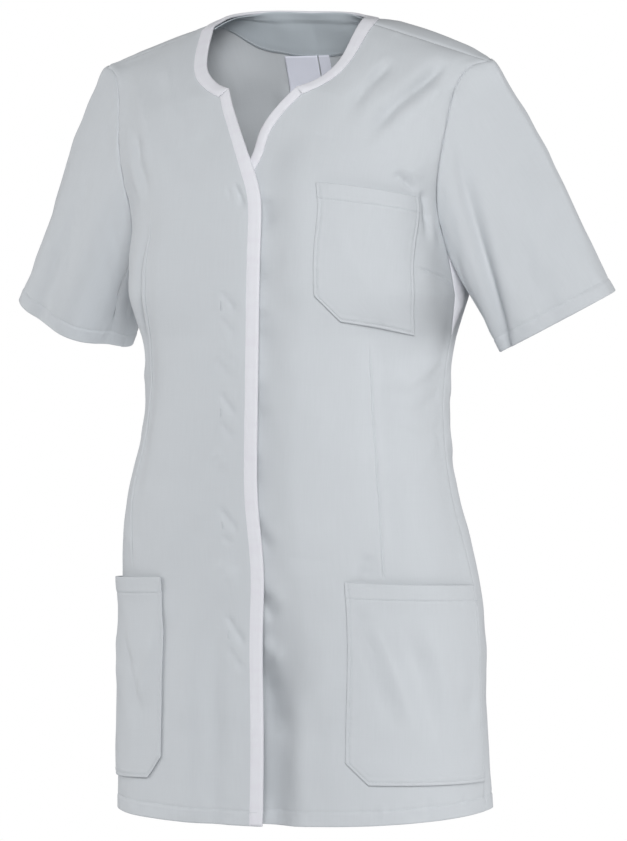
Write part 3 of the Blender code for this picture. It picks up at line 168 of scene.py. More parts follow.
# Sharper creases and darts: a line of (girth, height) places, the width on each side of it, the
# height, and the shares of its length over which it grows and dies away
creaseColumns = ("line", "widths", "height", "fade")
frontCreases = {
    "left": (
        # from the shoulder towards the neck
        (((0.113, -0.034), (0.098, -0.066), (0.082, -0.104)), (0.0110, 0.0050), 0.0010, (0.2, 0.5)),
        (((0.170, -0.036), (0.131, -0.080), (0.090, -0.140)), (0.0130, 0.0055), 0.0012, (0.2, 0.5)),
        (((0.118, -0.040), (0.100, -0.070), (0.084, -0.104)), (0.0075, 0.0065), -0.0042, (0.2, 0.5)),
        (((0.168, -0.040), (0.148, -0.066), (0.118, -0.102), (0.094, -0.134)),
         (0.0075, 0.0090), -0.0078, (0.15, 0.45)),
        (((0.172, -0.062), (0.150, -0.088), (0.124, -0.122)), (0.0090, 0.0080), 0.0030, (0.2, 0.5)),
        # pulls between the chest pocket and the armhole
        (((0.138, -0.150), (0.152, -0.157), (0.166, -0.168)), (0.0040, 0.0030), -0.0024, (0.3, 0.3)),
        (((0.136, -0.142), (0.158, -0.148), (0.172, -0.156)), (0.0060, 0.0050), 0.0012, (0.3, 0.3)),
        (((0.172, -0.164), (0.175, -0.186), (0.181, -0.214)), (0.0050, 0.0030), -0.0030, (0.2, 0.5)),
        (((0.182, -0.170), (0.186, -0.200), (0.196, -0.228)), (0.0050, 0.0050), 0.0016, (0.2, 0.4)),
        # waist dart and side bust dart
        (dartCut["left"], (0.0011, 0.0011), -0.0012, (0.10, 0.02)),
        (((0.1245, -0.304), (0.1325, -0.377), (0.1415, -0.451), (0.1375, -0.520)),
         (0.0030, 0.0085), 0.0008, (0.20, 0.20)),
        (((0.169, -0.236), (0.209, -0.2445), (0.240, -0.252)), (0.0011, 0.0011), -0.0011, (0.2, 0.01)),
        (((0.166, -0.241), (0.206, -0.2495), (0.240, -0.257)), (0.0030, 0.0080), 0.0008, (0.3, 0.01)),
        # beside the bound edge
        (((0.012, -0.166), (0.014, -0.186), (0.018, -0.214)), (0.0110, 0.0100), -0.0036, (0.3, 0.5)),
        (((0.013, -0.226), (0.014, -0.242), (0.018, -0.262)), (0.0090, 0.0080), -0.0022, (0.4, 0.4)),
        (((0.013, -0.270), (0.014, -0.296), (0.020, -0.326)), (0.0110, 0.0090), -0.0028, (0.3, 0.5)),
        (((0.013, -0.336), (0.014, -0.366), (0.022, -0.402)), (0.0110, 0.0090), -0.0028, (0.3, 0.5)),
        (((0.013, -0.404), (0.015, -0.432), (0.020, -0.460)), (0.0100, 0.0080), -0.0026, (0.3, 0.5)),
        (((0.010, -0.468), (0.020, -0.487), (0.032, -0.505)), (0.0090, 0.0060), -0.0036, (0.1, 0.6)),
        (((0.030, -0.474), (0.044, -0.494)), (0.0080, 0.0080), 0.0010, (0.3, 0.5)),
        (((0.006, -0.532), (0.017, -0.551), (0.030, -0.569)), (0.0095, 0.0060), -0.0042, (0.1, 0.6)),
        (((0.026, -0.530), (0.040, -0.554)), (0.0080, 0.0070), 0.0010, (0.3, 0.5)),
        (((0.008, -0.582), (0.021, -0.593), (0.038, -0.604)), (0.0095, 0.0090), 0.0028, (0.1, 0.5)),
        (((0.004, -0.598), (0.010, -0.634), (0.018, -0.680)), (0.0200, 0.0170), -0.0078, (0.25, 0.5)),
        (((0.004, -0.500), (0.002, -0.600), (0.004, -0.690), (0.004, -0.790)),
         (0.0340, 0.0300), -0.0095, (0.35, 0.01)),
        (((0.000, -0.540), (0.002, -0.650), (0.002, -0.790)), (0.0620, 0.0500), -0.0075, (0.40, 0.01)),
        (((0.046, -0.600), (0.050, -0.680), (0.046, -0.790)), (0.0120, 0.0120), 0.0020, (0.3, 0.01)),
        (((0.072, -0.620), (0.070, -0.690), (0.074, -0.790)), (0.0120, 0.0140), -0.0020, (0.3, 0.01)),
        # above the lower pocket
        (((0.122, -0.498), (0.112, -0.532)), (0.0090, 0.0070), -0.0028, (0.4, 0.2)),
        # waist and hip
        (((0.215, -0.318), (0.165, -0.345), (0.105, -0.340)), (0.0060, 0.0120), 0.0012, (0.1, 0.6)),
        (((0.218, -0.352), (0.170, -0.372), (0.130, -0.368)), (0.0110, 0.0060), -0.0010, (0.1, 0.6)),
        (((0.215, -0.392), (0.180, -0.428), (0.160, -0.470)), (0.0070, 0.0120), 0.0010, (0.1, 0.6)),
        (((0.060, -0.180), (0.052, -0.250), (0.040, -0.310)), (0.0120, 0.0160), 0.0008, (0.4, 0.5)),
        (((0.080, -0.545), (0.070, -0.640), (0.072, -0.770)), (0.0120, 0.0180), 0.0010, (0.3, 0.01)),
        (((0.175, -0.722), (0.168, -0.780)), (0.0100, 0.0140), -0.0012, (0.4, 0.01)),
    ),
    "right": (
        (((0.118, -0.034), (0.104, -0.066), (0.086, -0.108)), (0.0110, 0.0050), 0.0009, (0.2, 0.5)),
        (((0.160, -0.044), (0.126, -0.100), (0.100, -0.160)), (0.0130, 0.0055), 0.0011, (0.2, 0.5)),
        (((0.165, -0.085), (0.128, -0.150)), (0.0060, 0.0100), -0.0009, (0.3, 0.5)),
        # short creases where the bound edge turns down
        (((0.0130, -0.157), (0.0060, -0.169), (-0.0020, -0.184)), (0.0045, 0.0024), -0.0034, (0.3, 0.3)),
        (((0.0200, -0.160), (0.0130, -0.178)), (0.0030, 0.0040), -0.0014, (0.3, 0.4)),
        # pulls from the bar tacks to the bound edge
        (((0.0260, -0.258), (0.0150, -0.268), (0.0030, -0.283)), (0.0030, 0.0045), -0.0018, (0.3, 0.3)),
        (((0.0250, -0.280), (0.0140, -0.292), (0.0020, -0.303)), (0.0045, 0.0030), -0.0014, (0.3, 0.4)),
        (((0.0210, -0.300), (0.0040, -0.322)), (0.0050, 0.0050), 0.0013, (0.3, 0.4)),
        (((0.0300, -0.318), (0.0120, -0.338), (0.0020, -0.344)), (0.0060, 0.0040), -0.0013, (0.3, 0.4)),
        (((0.0240, -0.350), (0.0120, -0.365), (0.0010, -0.377)), (0.0030, 0.0050), -0.0020, (0.3, 0.3)),
        (((0.0220, -0.378), (0.0100, -0.390), (0.0000, -0.398)), (0.0045, 0.0030), -0.0014, (0.3, 0.4)),
        (((0.0260, -0.404), (0.0080, -0.424)), (0.0060, 0.0050), 0.0014, (0.3, 0.4)),
        (((0.0200, -0.456), (0.0100, -0.469), (-0.0020, -0.483)), (0.0030, 0.0045), -0.0020, (0.3, 0.3)),
        (((0.0180, -0.484), (0.0060, -0.494)), (0.0040, 0.0030), -0.0014, (0.3, 0.4)),
        (((0.0260, -0.508), (0.0060, -0.530)), (0.0060, 0.0070), 0.0014, (0.3, 0.4)),
        (((0.0240, -0.555), (0.0120, -0.572), (0.0000, -0.590)), (0.0030, 0.0050), -0.0023, (0.3, 0.3)),
        (((0.0220, -0.584), (0.0100, -0.600), (-0.0010, -0.612)), (0.0050, 0.0030), -0.0018, (0.3, 0.4)),
        # long trough beside the lower edge, and the hollow below the sleeve
        (((0.0310, -0.540), (0.0330, -0.620), (0.0310, -0.700), (0.0320, -0.790)),
         (0.0130, 0.0120), -0.0034, (0.3, 0.01)),
        (((0.205, -0.215), (0.208, -0.270), (0.208, -0.300), (0.204, -0.350)),
         (0.0300, 0.0350), -0.0085, (0.30, 0.35)),
        # below the armhole, and the turn outside the long dart
        (((0.150, -0.100), (0.134, -0.140), (0.119, -0.176)), (0.0060, 0.0090), -0.0026, (0.3, 0.3)),
        (((0.156, -0.126), (0.142, -0.158), (0.130, -0.186)), (0.0070, 0.0060), 0.0016, (0.3, 0.4)),
        (((0.1215, -0.186), (0.1300, -0.240), (0.1360, -0.300), (0.1440, -0.360)),
         (0.0080, 0.0016), -0.0034, (0.20, 0.45)),
        # long dart from the bust to the pocket
        (dartCut["right"], (0.0012, 0.0012), -0.0012, (0.08, 0.05)),
        (((0.1220, -0.190), (0.1315, -0.300), (0.1535, -0.438), (0.1480, -0.515)),
         (0.0035, 0.0095), 0.0009, (0.20, 0.20)),
        # side bust dart, waist and hip
        (((0.195, -0.2400), (0.240, -0.252)), (0.0011, 0.0011), -0.0011, (0.3, 0.01)),
        (((0.215, -0.312), (0.170, -0.338), (0.130, -0.330)), (0.0060, 0.0120), 0.0012, (0.1, 0.6)),
        (((0.218, -0.350), (0.180, -0.374)), (0.0110, 0.0060), -0.0010, (0.1, 0.6)),
        (((0.212, -0.398), (0.185, -0.440)), (0.0070, 0.0120), 0.0010, (0.1, 0.6)),
        (((0.070, -0.200), (0.058, -0.290), (0.060, -0.380)), (0.0150, 0.0200), 0.0008, (0.4, 0.4)),
        (((0.068, -0.560), (0.062, -0.660), (0.060, -0.770)), (0.0120, 0.0180), 0.0011, (0.3, 0.01)),
    ),
}
backCreases = (
    # waist darts, one each side of the centre
    (((0.094, -0.285), (0.090, -0.345), (0.088, -0.430), (0.084, -0.520)),
     (0.0026, 0.0026), -0.0011, (0.12, 0.12)),
    (((-0.094, -0.285), (-0.091, -0.345), (-0.088, -0.430), (-0.084, -0.520)),
     (0.0026, 0.0026), -0.0011, (0.12, 0.12)),
    # shoulder blades, waist and skirt
    (((0.150, -0.086), (0.112, -0.150), (0.094, -0.215)), (0.0120, 0.0060), 0.0013, (0.2, 0.5)),
    (((-0.160, -0.090), (-0.118, -0.160), (-0.100, -0.205)), (0.0060, 0.0120), 0.0012, (0.2, 0.5)),
    (((0.215, -0.330), (0.140, -0.362), (0.040, -0.352), (-0.060, -0.366)),
     (0.0070, 0.0130), 0.0014, (0.1, 0.4)),
    (((-0.218, -0.325), (-0.150, -0.352), (-0.070, -0.346)), (0.0070, 0.0130), 0.0014, (0.1, 0.5)),
    (((-0.216, -0.372), (-0.130, -0.392), (-0.020, -0.380)), (0.0120, 0.0060), -0.0012, (0.1, 0.5)),
    (((0.217, -0.388), (0.160, -0.410), (0.100, -0.400)), (0.0070, 0.0130), 0.0012, (0.1, 0.5)),
    (((0.030, -0.560), (0.036, -0.660), (0.030, -0.780)), (0.0140, 0.0200), 0.0013, (0.3, 0.01)),
    (((-0.070, -0.545), (-0.078, -0.650), (-0.070, -0.780)), (0.0140, 0.0200), -0.0014, (0.3, 0.01)),
    (((0.150, -0.580), (0.158, -0.680), (0.150, -0.780)), (0.0140, 0.0180), -0.0012, (0.3, 0.01)),
    (((-0.185, -0.600), (-0.176, -0.700), (-0.180, -0.780)), (0.0140, 0.0180), 0.0012, (0.3, 0.01)),
    (((0.010, -0.060), (0.014, -0.130), (0.006, -0.200)), (0.0160, 0.0160), -0.0010, (0.4, 0.4)),
    # beside the label, made for the inside
    (((-0.038, -0.050), (-0.037, -0.085), (-0.030, -0.150)), (0.0100, 0.0110), -0.0026, (0.2, 0.8)),
    (((-0.056, -0.046), (-0.054, -0.090), (-0.046, -0.160)), (0.0140, 0.0110), 0.0014, (0.3, 0.7)),
)
# Sleeve folds: places round the sleeve in degrees from its outer edge towards the front, at the
# head and at the hem, the stretch of its length, the half width in degrees, and the height
sleeveColumns = ("head", "hem", "from", "to", "halfWidth", "height")
sleeveFolds = (
    (75, 78, 0.25, 1.0, 15, -0.0040),
    (40, 38, 0.35, 1.0, 16, 0.0020),
    (235, 250, 0.20, 1.0, 18, -0.0035),
    (290, 285, 0.30, 1.0, 18, 0.0025),
)
sleeveCreases = {
    "left": (
        (76, 138, 0.10, 1.0, 7, -0.0040),
        (72, 137, 0.02, 0.55, 10, -0.0062),
        (54, 118, 0.05, 0.7, 13, 0.0026),
        (112, 156, 0.20, 1.0, 9, 0.0014),
        (190, 186, 0.10, 1.0, 26, -0.0080),
        (22, 18, 0.40, 1.0, 9, 0.0010),
        (262, 250, 0.10, 1.0, 6, -0.0016),
        (310, 300, 0.20, 0.9, 8, 0.0012),
        (225, 232, 0.15, 0.9, 6, 0.0015),
    ),
    "right": (
        (150, 156, 0.0, 1.0, 34, -0.0165),
        (92, 104, 0.10, 1.0, 15, 0.0012),
        (60, 66, 0.15, 1.0, 9, -0.0022),
        (30, 24, 0.30, 1.0, 10, 0.0012),
        (255, 246, 0.10, 1.0, 6, -0.0015),
        (300, 306, 0.20, 0.9, 8, 0.0012),
        (232, 226, 0.15, 0.9, 6, 0.0014),
    ),
}
sleeveCut = {"centre": (0.2500, 0.0500, -0.2865), "halfWidth": 0.0620, "halfDepth": 0.0500,
             "axis": (0.504, 0.188, -1.000), "headWay": (0.590, 0.120, -0.800),
             "underWay": (0.300, 0.060, -0.950)}


def table(columns, rows):
    return [dict(zip(columns, row)) for row in rows]


def smooth(value):
    value = np.clip(value, 0, 1)
    return value * value * (3 - 2 * value)


def unit(vectors):
    return vectors / np.maximum(np.linalg.norm(vectors, axis=-1, keepdims=True), 1e-12)


def bezier(points, t):
    t = np.asarray(t)[..., None]
    a, b, c, d = points
    return (1 - t) ** 3 * a + 3 * (1 - t) ** 2 * t * b + 3 * (1 - t) * t**2 * c + t**3 * d


class Spline:
    # a natural cubic spline through values, one for each knot

    def __init__(self, knots, values):
        self.knots = np.asarray(knots, float)
        self.values = np.asarray(values, float)
        count = len(self.knots)
        step = np.diff(self.knots)
        flat = self.values.reshape(count, -1)
        matrix = np.eye(count)
        right = np.zeros_like(flat)
        for i in range(1, count - 1):
            matrix[i, i - 1:i + 2] = step[i - 1], 2 * (step[i - 1] + step[i]), step[i]
            rise = (flat[i + 1] - flat[i]) / step[i] - (flat[i] - flat[i - 1]) / step[i - 1]
            right[i] = 6 * rise
        self.bend = np.linalg.solve(matrix, right).reshape(self.values.shape)

    def weights(self, at):
        at = np.clip(at, self.knots[0], self.knots[-1])
        low = np.clip(np.searchsorted(self.knots, at, "right") - 1, 0, len(self.knots) - 2)
        step = self.knots[low + 1] - self.knots[low]
        b = (at - self.knots[low]) / step
        return low, 1 - b, b, step

    def __call__(self, at):
        low, a, b, step = self.weights(at)
        shape = np.shape(low) + (1,) * (self.values.ndim - 1)
        a, b, step = (np.reshape(part, shape) for part in (a, b, step))
        bend = (a**3 - a) * self.bend[low] + (b**3 - b) * self.bend[low + 1]
        return a * self.values[low] + b * self.values[low + 1] + bend * step**2 / 6


def rowPoints(row):
    start, end = np.array(row["inner"], float), np.array(row["outer"], float)
    chord = end - start
    length = np.linalg.norm(chord)
    handles = []
    for angle, pull in ((row["leave"], row["leavePull"]), (row["arrive"], row["arrivePull"])):
        turn = math.radians(angle)
        handles.append(np.array((math.cos(turn), math.sin(turn), 0)) * pull * length)
    rise, lift = np.array((0, 0, chord[2] / 3)), np.array((0, 0, row["lift"]))
    return start, start + handles[0] + rise + lift, end - handles[1] - rise + lift, end


class RowCurve:
    # one row, run through evenly from 0 at its start to 1 at its end

    def __init__(self, points):
        self.points = points
        self.t = np.linspace(0, 1, 201)
        steps = np.linalg.norm(np.diff(bezier(points, self.t), axis=0), axis=1)
        self.length = steps.sum()
        self.share = np.concatenate(([0], np.cumsum(steps))) / self.length

    def __call__(self, share):
        return bezier(self.points, np.interp(share, self.share, self.t))


class TopEdge:
    # the back's first row: half the neck, then the straight shoulder seam

    def __init__(self, neck, seam):
        self.neck, self.seam = RowCurve(neck), seam
        self.length = self.neck.length + np.linalg.norm(seam[1] - seam[0])

    def __call__(self, share):
        first = tunicFit["neckShare"]
        along = np.clip((share - first) / (1 - first), 0, 1)[..., None]
        seam = self.seam[0] * (1 - along) + self.seam[1] * along
        neck = self.neck(np.clip(share / first, 0, 1))
        return np.where(share[..., None] <= first, neck, seam)


# Distance of each point along a line of points
def reached(points):
    return np.concatenate(([0], np.cumsum(np.linalg.norm(np.diff(points, axis=0), axis=1))))


# Places at distances along a line whose own points lie at the distances at
def placesAt(spots, at, points):
    return np.stack([np.interp(spots, at, points[:, k]) for k in range(3)], axis=-1)


def curveShares(points):
    at = reached(points)
    return at / at[-1]


neckPoint = Spline(curveShares(np.array(neckCurve)), neckCurve)
openingEdge = {side: Spline([-z for z, _ in edge], [x for _, x in edge])
               for side, edge in openingCurves.items()}
lean = Spline([-z for z, _ in sway], [shift for _, shift in sway])
sideCurve = Spline([-row[2][2] for row in frontRows[7:]], [row[2][:2] for row in frontRows[7:]])


# The side at a height, moved to the back by depth round the body's curve
def sidePoint(z, depth):
    x, y = np.moveaxis(sideCurve(np.maximum(-z, sideCurve.knots[0])), -1, 0)
    return np.stack((x - depth**2 / 0.20, y + depth, z), axis=-1)


# Smooth random values over a plane, the same on every run
def patches(u, v, size, seed):
    knots = np.random.default_rng(seed).normal(size=(64, 64))
    u, v = np.broadcast_arrays(np.asarray(u) / size + 640, np.asarray(v) / size + 640)
    i, j = np.floor(u).astype(int), np.floor(v).astype(int)
    s, t = smooth(u - i), smooth(v - j)
    i, j = i % 64, j % 64
    k, m = (i + 1) % 64, (j + 1) % 64
    return ((knots[i, j] * (1 - s) + knots[k, j] * s) * (1 - t)
            + (knots[i, m] * (1 - s) + knots[k, m] * s) * t)


# The height of one crease at places (girth, height) on a panel
def creaseLift(places, crease):
    line = np.array(crease["line"], float)
    spans = np.linalg.norm(np.diff(line, axis=0), axis=1)
    starts = np.concatenate(([0], np.cumsum(spans)))
    nearest = np.full(places.shape[:-1], np.inf)
    along, turned = np.zeros(nearest.shape), np.zeros(nearest.shape)
    for i, span in enumerate(spans):
        way = (line[i + 1] - line[i]) / span
        offset = places - line[i]
        reach = np.clip(offset @ way, 0, span)
        gap = offset - reach[..., None] * way
        away = np.linalg.norm(gap, axis=-1)
        closer = away < nearest
        nearest = np.where(closer, away, nearest)
        along = np.where(closer, (starts[i] + reach) / starts[-1], along)
        turned = np.where(closer, way[0] * gap[..., 1] - way[1] * gap[..., 0], turned)
    width = np.where(turned > 0, *crease["widths"]) * (0.85 + 0.3 * along)
    grow, die = crease["fade"]
    fade = smooth(along / grow) * smooth((1 - along) / die)
    uneven = 1 + 0.15 * np.sin(along * 17 + line[0, 0] * 400)
    return crease["height"] * np.exp(-((nearest / width) ** 2)) * fade * uneven


# The turned hem seen from outside: rise is the distance from its edge, along runs round it
def hemLift(along, rise, seed):
    depth = clothMake["hemDepth"]
    turned = smooth((depth + 0.0006 - rise) / 0.0012)
    sewn = np.exp(-(((rise - depth) / 0.0011) ** 2))
    pull = patches(along, rise * 0.5, 0.0065, seed) + 0.7 * patches(along, rise, 0.014, seed + 1)
    near = np.exp(-(((rise - depth) / 0.0085) ** 2))
    return clothMake["hemTurn"] * turned - 0.00055 * sewn + clothMake["pucker"] * pull * near


# The dip along a seam and the small pulls beside it
def seamLift(away, along, seed):
    pull = patches(along, away * 0.6, clothMake["puckerPitch"], seed)
    near = np.exp(-((away / 0.007) ** 2))
    ridge = 0.00035 * np.exp(-(((away - 0.0055) / 0.0040) ** 2))
    dip = clothMake["seamDepth"] * np.exp(-((away / clothMake["seamWidth"]) ** 2))
    return ridge - dip + clothMake["pucker"] * pull * near * smooth(away / 0.0015)


class Panel:
    # half a front or half the back: rows joined into one smooth sheet, then folded

    def __init__(self, rows, curves, folds, creases, side=None):
        self.side, self.front = side, side is not None
        self.folds, self.creases = table(foldColumns, folds), table(creaseColumns, creases)
        self.flip = 1                  # -1 for the wearer's right half of the back
        self.names = [row["name"] for row in rows]
        self.under = self.names.index("underarm")
        inner = np.array([curve(np.array(0.0)) for curve in curves])
        outer = np.array([curve(np.array(1.0)) for curve in curves])
        steps = np.linalg.norm(np.diff(inner, axis=0), axis=1)
        steps = (steps + np.linalg.norm(np.diff(outer, axis=0), axis=1)) / 2
        steps[self.under:] = -np.diff(outer[:, 2])[self.under:]
        self.knots = np.concatenate(([0], np.cumsum(steps)))
        self.curves = curves
        self.lengths = Spline(self.knots, [curve.length for curve in curves])
        self.armhole = Spline(self.knots[:self.under + 1], outer[:self.under + 1])
        self.ends = Spline(self.knots, np.stack((inner, outer), axis=1))
        if self.front:
            self.corner = self.names.index("neck corner")
            shares = [row["share"] for row in rows[:self.corner + 1]]
            self.neckShare = Spline(self.knots[:self.corner + 1], shares)
            self.opening = Spline(self.knots[self.corner:], inner[self.corner:, 1:])

    def downAt(self, z):
        return self.knots[self.under] + tunicFit["underarm"] - z

    def outerEdge(self, down):
        down = np.asarray(down, float)
        z = tunicFit["underarm"] - (down - self.knots[self.under])
        reach = tunicFit["underarm"] - tunicFit["gussetTip"]
        taper = np.clip((z - tunicFit["gussetTip"]) / reach, 0, 1)
        back = tunicFit["gussetHalf"] * (-1 if self.front else 1)
        lower = sidePoint(z, back * taper)
        upper = self.armhole(down)
        share = np.clip(down / self.knots[self.under], 0, 1)[..., None] ** 6
        corner = sidePoint(np.array(tunicFit["underarm"]), back)
        upper = upper + share * (corner - self.armhole(self.knots[self.under]))
        return np.where((down >= self.knots[self.under])[..., None], lower, upper)

    def innerEdge(self, down):
        down = np.asarray(down, float)
        corner = self.knots[self.corner]
        neck = neckPoint(self.neckShare(np.minimum(down, corner)))
        y, z = np.moveaxis(self.opening(np.maximum(down, corner)), -1, 0)
        opening = np.stack((openingEdge[self.side](-z), y, z), axis=-1)
        return np.where((down <= corner)[..., None], neck, opening)

    def base(self, across, down):
        across, down = np.broadcast_arrays(np.asarray(across, float), np.asarray(down, float))
        shape = across.shape
        across, down = across.ravel(), np.clip(down.ravel(), 0, self.knots[-1])
        sheets = Spline(self.knots, np.array([curve(across) for curve in self.curves]))
        low, a, b, step = sheets.weights(down)
        each = np.arange(len(across))
        a, b, step = a[:, None], b[:, None], step[:, None]
        bend = (a**3 - a) * sheets.bend[low, each] + (b**3 - b) * sheets.bend[low + 1, each]
        found = a * sheets.values[low, each] + b * sheets.values[low + 1, each]
        found = found + bend * step**2 / 6
        plain = self.ends(down)
        found += (self.outerEdge(down) - plain[:, 1]) * across[:, None] ** 2
        if self.front:
            found += (self.innerEdge(down) - plain[:, 0]) * (1 - across[:, None]) ** 4
        return found.reshape(shape + (3,))

    def normal(self, across, down):
        eps = 0.004
        along = self.base(across, down + eps) - self.base(across, down - eps)
        left, right = np.clip(across - eps, 0, 1), np.clip(across + eps, 0, 1)
        over = self.base(right, down) - self.base(left, down)
        return unit(np.cross(along, over) * (1 if self.front else -1))

    def startOf(self, down):
        return self.innerEdge(down)[..., 0] if self.front else 0.0

    def girth(self, across, down):
        return across * self.lengths(down) + self.startOf(down)

    def shareOf(self, girth, down):
        return (girth - self.startOf(down)) / self.lengths(down)

    # Height of the folds, creases and seams over the plain form
    def relief(self, across, down, places):
        girth, z = self.girth(across, down), places[..., 2]
        spot = np.stack((girth + 0 * z, z), axis=-1)
        total = np.zeros(z.shape)
        for fold in self.folds:
            start, end = np.array(fold["start"]), np.array(fold["end"])
            line = end - start
            offset = spot - start
            along = np.clip(offset @ line / (line @ line), 0, 1)
            away = np.linalg.norm(offset - along[..., None] * line, axis=-1)
            fade = np.sin(np.clip(0.12 + along, 0, 1) * math.pi) ** 0.5
            if fold["end"][1] < -0.73:
                fade = np.clip(along * 2.5, 0, 1)
            total += fold["height"] * np.exp(-((away / fold["halfWidth"]) ** 2)) * fade
        spot = spot * np.array((self.flip, 1))
        for crease in self.creases:
            total += creaseLift(spot, crease)
        seed = 11 if not self.front else 23 if self.side == "left" else 37
        size = clothMake["unevenSize"]
        total += clothMake["unevenness"] * (patches(spot[..., 0], z * 0.6, size, seed)
                                            + 0.45 * patches(spot[..., 0], z, size * 0.42, seed + 1))
        return total

    def seams(self, across, down, places):
        girth, z = self.girth(across, down), places[..., 2]
        seed = (5 if self.front else 7) + (2 if self.side == "left" or self.flip < 0 else 0)
        rim = (1 - across) * self.lengths(down)
        total = seamLift(rim, z, seed) * np.where(down > self.knots[self.under], 0.45, 1.0)
        top = down if self.front else np.where(across >= tunicFit["neckShare"], down, 1.0)
        total = total + seamLift(top, girth, seed + 20)
        rise = z - tunicFit["hem"]
        return total + hemLift(girth * self.flip, rise, seed + 40)

    def points(self, across, down):
        across, down = np.broadcast_arrays(np.asarray(across, float), np.asarray(down, float))
        base = self.base(across, down)
        normal = self.normal(across, down)
        lift = self.relief(across, down, base)
        rim = (1 - across) * self.lengths(down)
        lift = lift * smooth(rim / 0.020) * smooth((down + 0.002) / 0.017)
        girth = self.girth(across, down)
        if self.side == "left":
            near = smooth((0.060 - girth) / 0.040)
            low = smooth((-base[..., 2] - 0.090) / 0.042)
            beside = smooth((girth + 0.014) / 0.014)
            lift = lift * (1 - near * (1 - beside)) - tunicFit["underDrop"] * near * low
        elif self.front:
            lift = lift * smooth((girth + 0.009) / 0.014)
        lift = lift + self.seams(across, down, base)
        return base + normal * lift[..., None]

    # Places of the mesh's rows: every table row, with even steps between, finer at the hem
    def levels(self, step):
        found = [0.0]
        for i, span in enumerate(np.diff(self.knots)):
            count = max(1, round(span / step))
            found += list(self.knots[i] + span * np.arange(1, count + 1) / count)
        found = np.array(found)
        end = self.knots[-1]
        fine = end - np.linspace(0.018, 0, 19)
        return np.concatenate((found[found < end - 0.0185], fine))

    # The place down the sheet where it reaches height z
    def locate(self, across, z):
        down = self.downAt(z)
        for _ in range(8):
            down = down + self.base(across, down)[..., 2] - z
        return down

    # Finished places and ways out for a line of (girth, height)
    def trace(self, line, step=0.0015):
        line = np.array(line, float)
        at = reached(line)
        reach = np.linspace(0, at[-1], max(3, int(at[-1] / step)))
        girth, z = np.interp(reach, at, line[:, 0]), np.interp(reach, at, line[:, 1])
        down = self.downAt(z)
        for _ in range(4):
            share = np.clip(self.shareOf(girth, down), 0, 1)
            down = self.locate(share, z)
        return self.points(share, down), self.normal(share, down)


# A front; past the centre the under front runs along the mirrored outer front, over
def frontPanel(side, over=None):
    rows = table(rowColumns, frontRows)
    for i, row in enumerate(rows):
        if isinstance(row["inner"], float):
            row["share"] = row["inner"]
            row["inner"] = neckPoint(np.array(row["share"]))
            continue
        y, z = row["inner"]
        x = float(openingEdge[side](np.array(-z)))
        if over is not None and x < 0:
            places = over.curves[i](np.linspace(0, 0.6, 121))
            y = np.interp(-x, places[:, 0], places[:, 1])
            slope = np.interp(-x, places[1:, 0], np.diff(places[:, 1]) / np.diff(places[:, 0]))
            row["leave"] = -math.degrees(math.atan(slope))
        row["inner"] = (x, y, z)
    curves = [RowCurve(rowPoints(row)) for row in rows]
    return Panel(rows, curves, frontFolds[side], frontCreases[side], side)


def backPanel():
    rows = table(rowColumns, backRows)
    neck = dict(rows[0], outer=tuple(neckSide))
    curves = [TopEdge(rowPoints(neck), (neckSide, shoulderTip))]
    curves += [RowCurve(rowPoints(row)) for row in rows[1:]]
    return Panel(rows, curves, backFolds, backCreases)


# The finished place of a point: it sways, and the garment hangs from its tilted shoulders
def tilted(points):
    moved = np.array(points, float)
    moved[..., 0] += lean(-moved[..., 2])
    x, y, z = np.moveaxis(moved, -1, 0)
    hem = tunicFit["hemTilt"] * x * smooth((-z - 0.45) / 0.28)
    shoulder = tunicFit["shoulderTilt"] * x * np.abs(x) * smooth((z + 0.18) / 0.12)
    neck = smooth(y / 0.03) * smooth((z + 0.03) / 0.03) * smooth((0.105 - np.abs(x)) / 0.04)
    moved[..., 2] = z + hem - shoulder - tunicFit["neckTilt"] * x * neck
    return moved


# The same sheet on the wearer's right, its columns still left to right from outside
flip = np.array((-1, 1, 1))


def mirrored(grid):
    return grid[:, ::-1] * flip


def gridNormals(grid, wrap=False):
    if wrap:
        over = np.roll(grid, -1, axis=1) - np.roll(grid, 1, axis=1)
    else:
        over = np.gradient(grid, axis=1)
    return unit(np.cross(np.gradient(grid, axis=0), over))


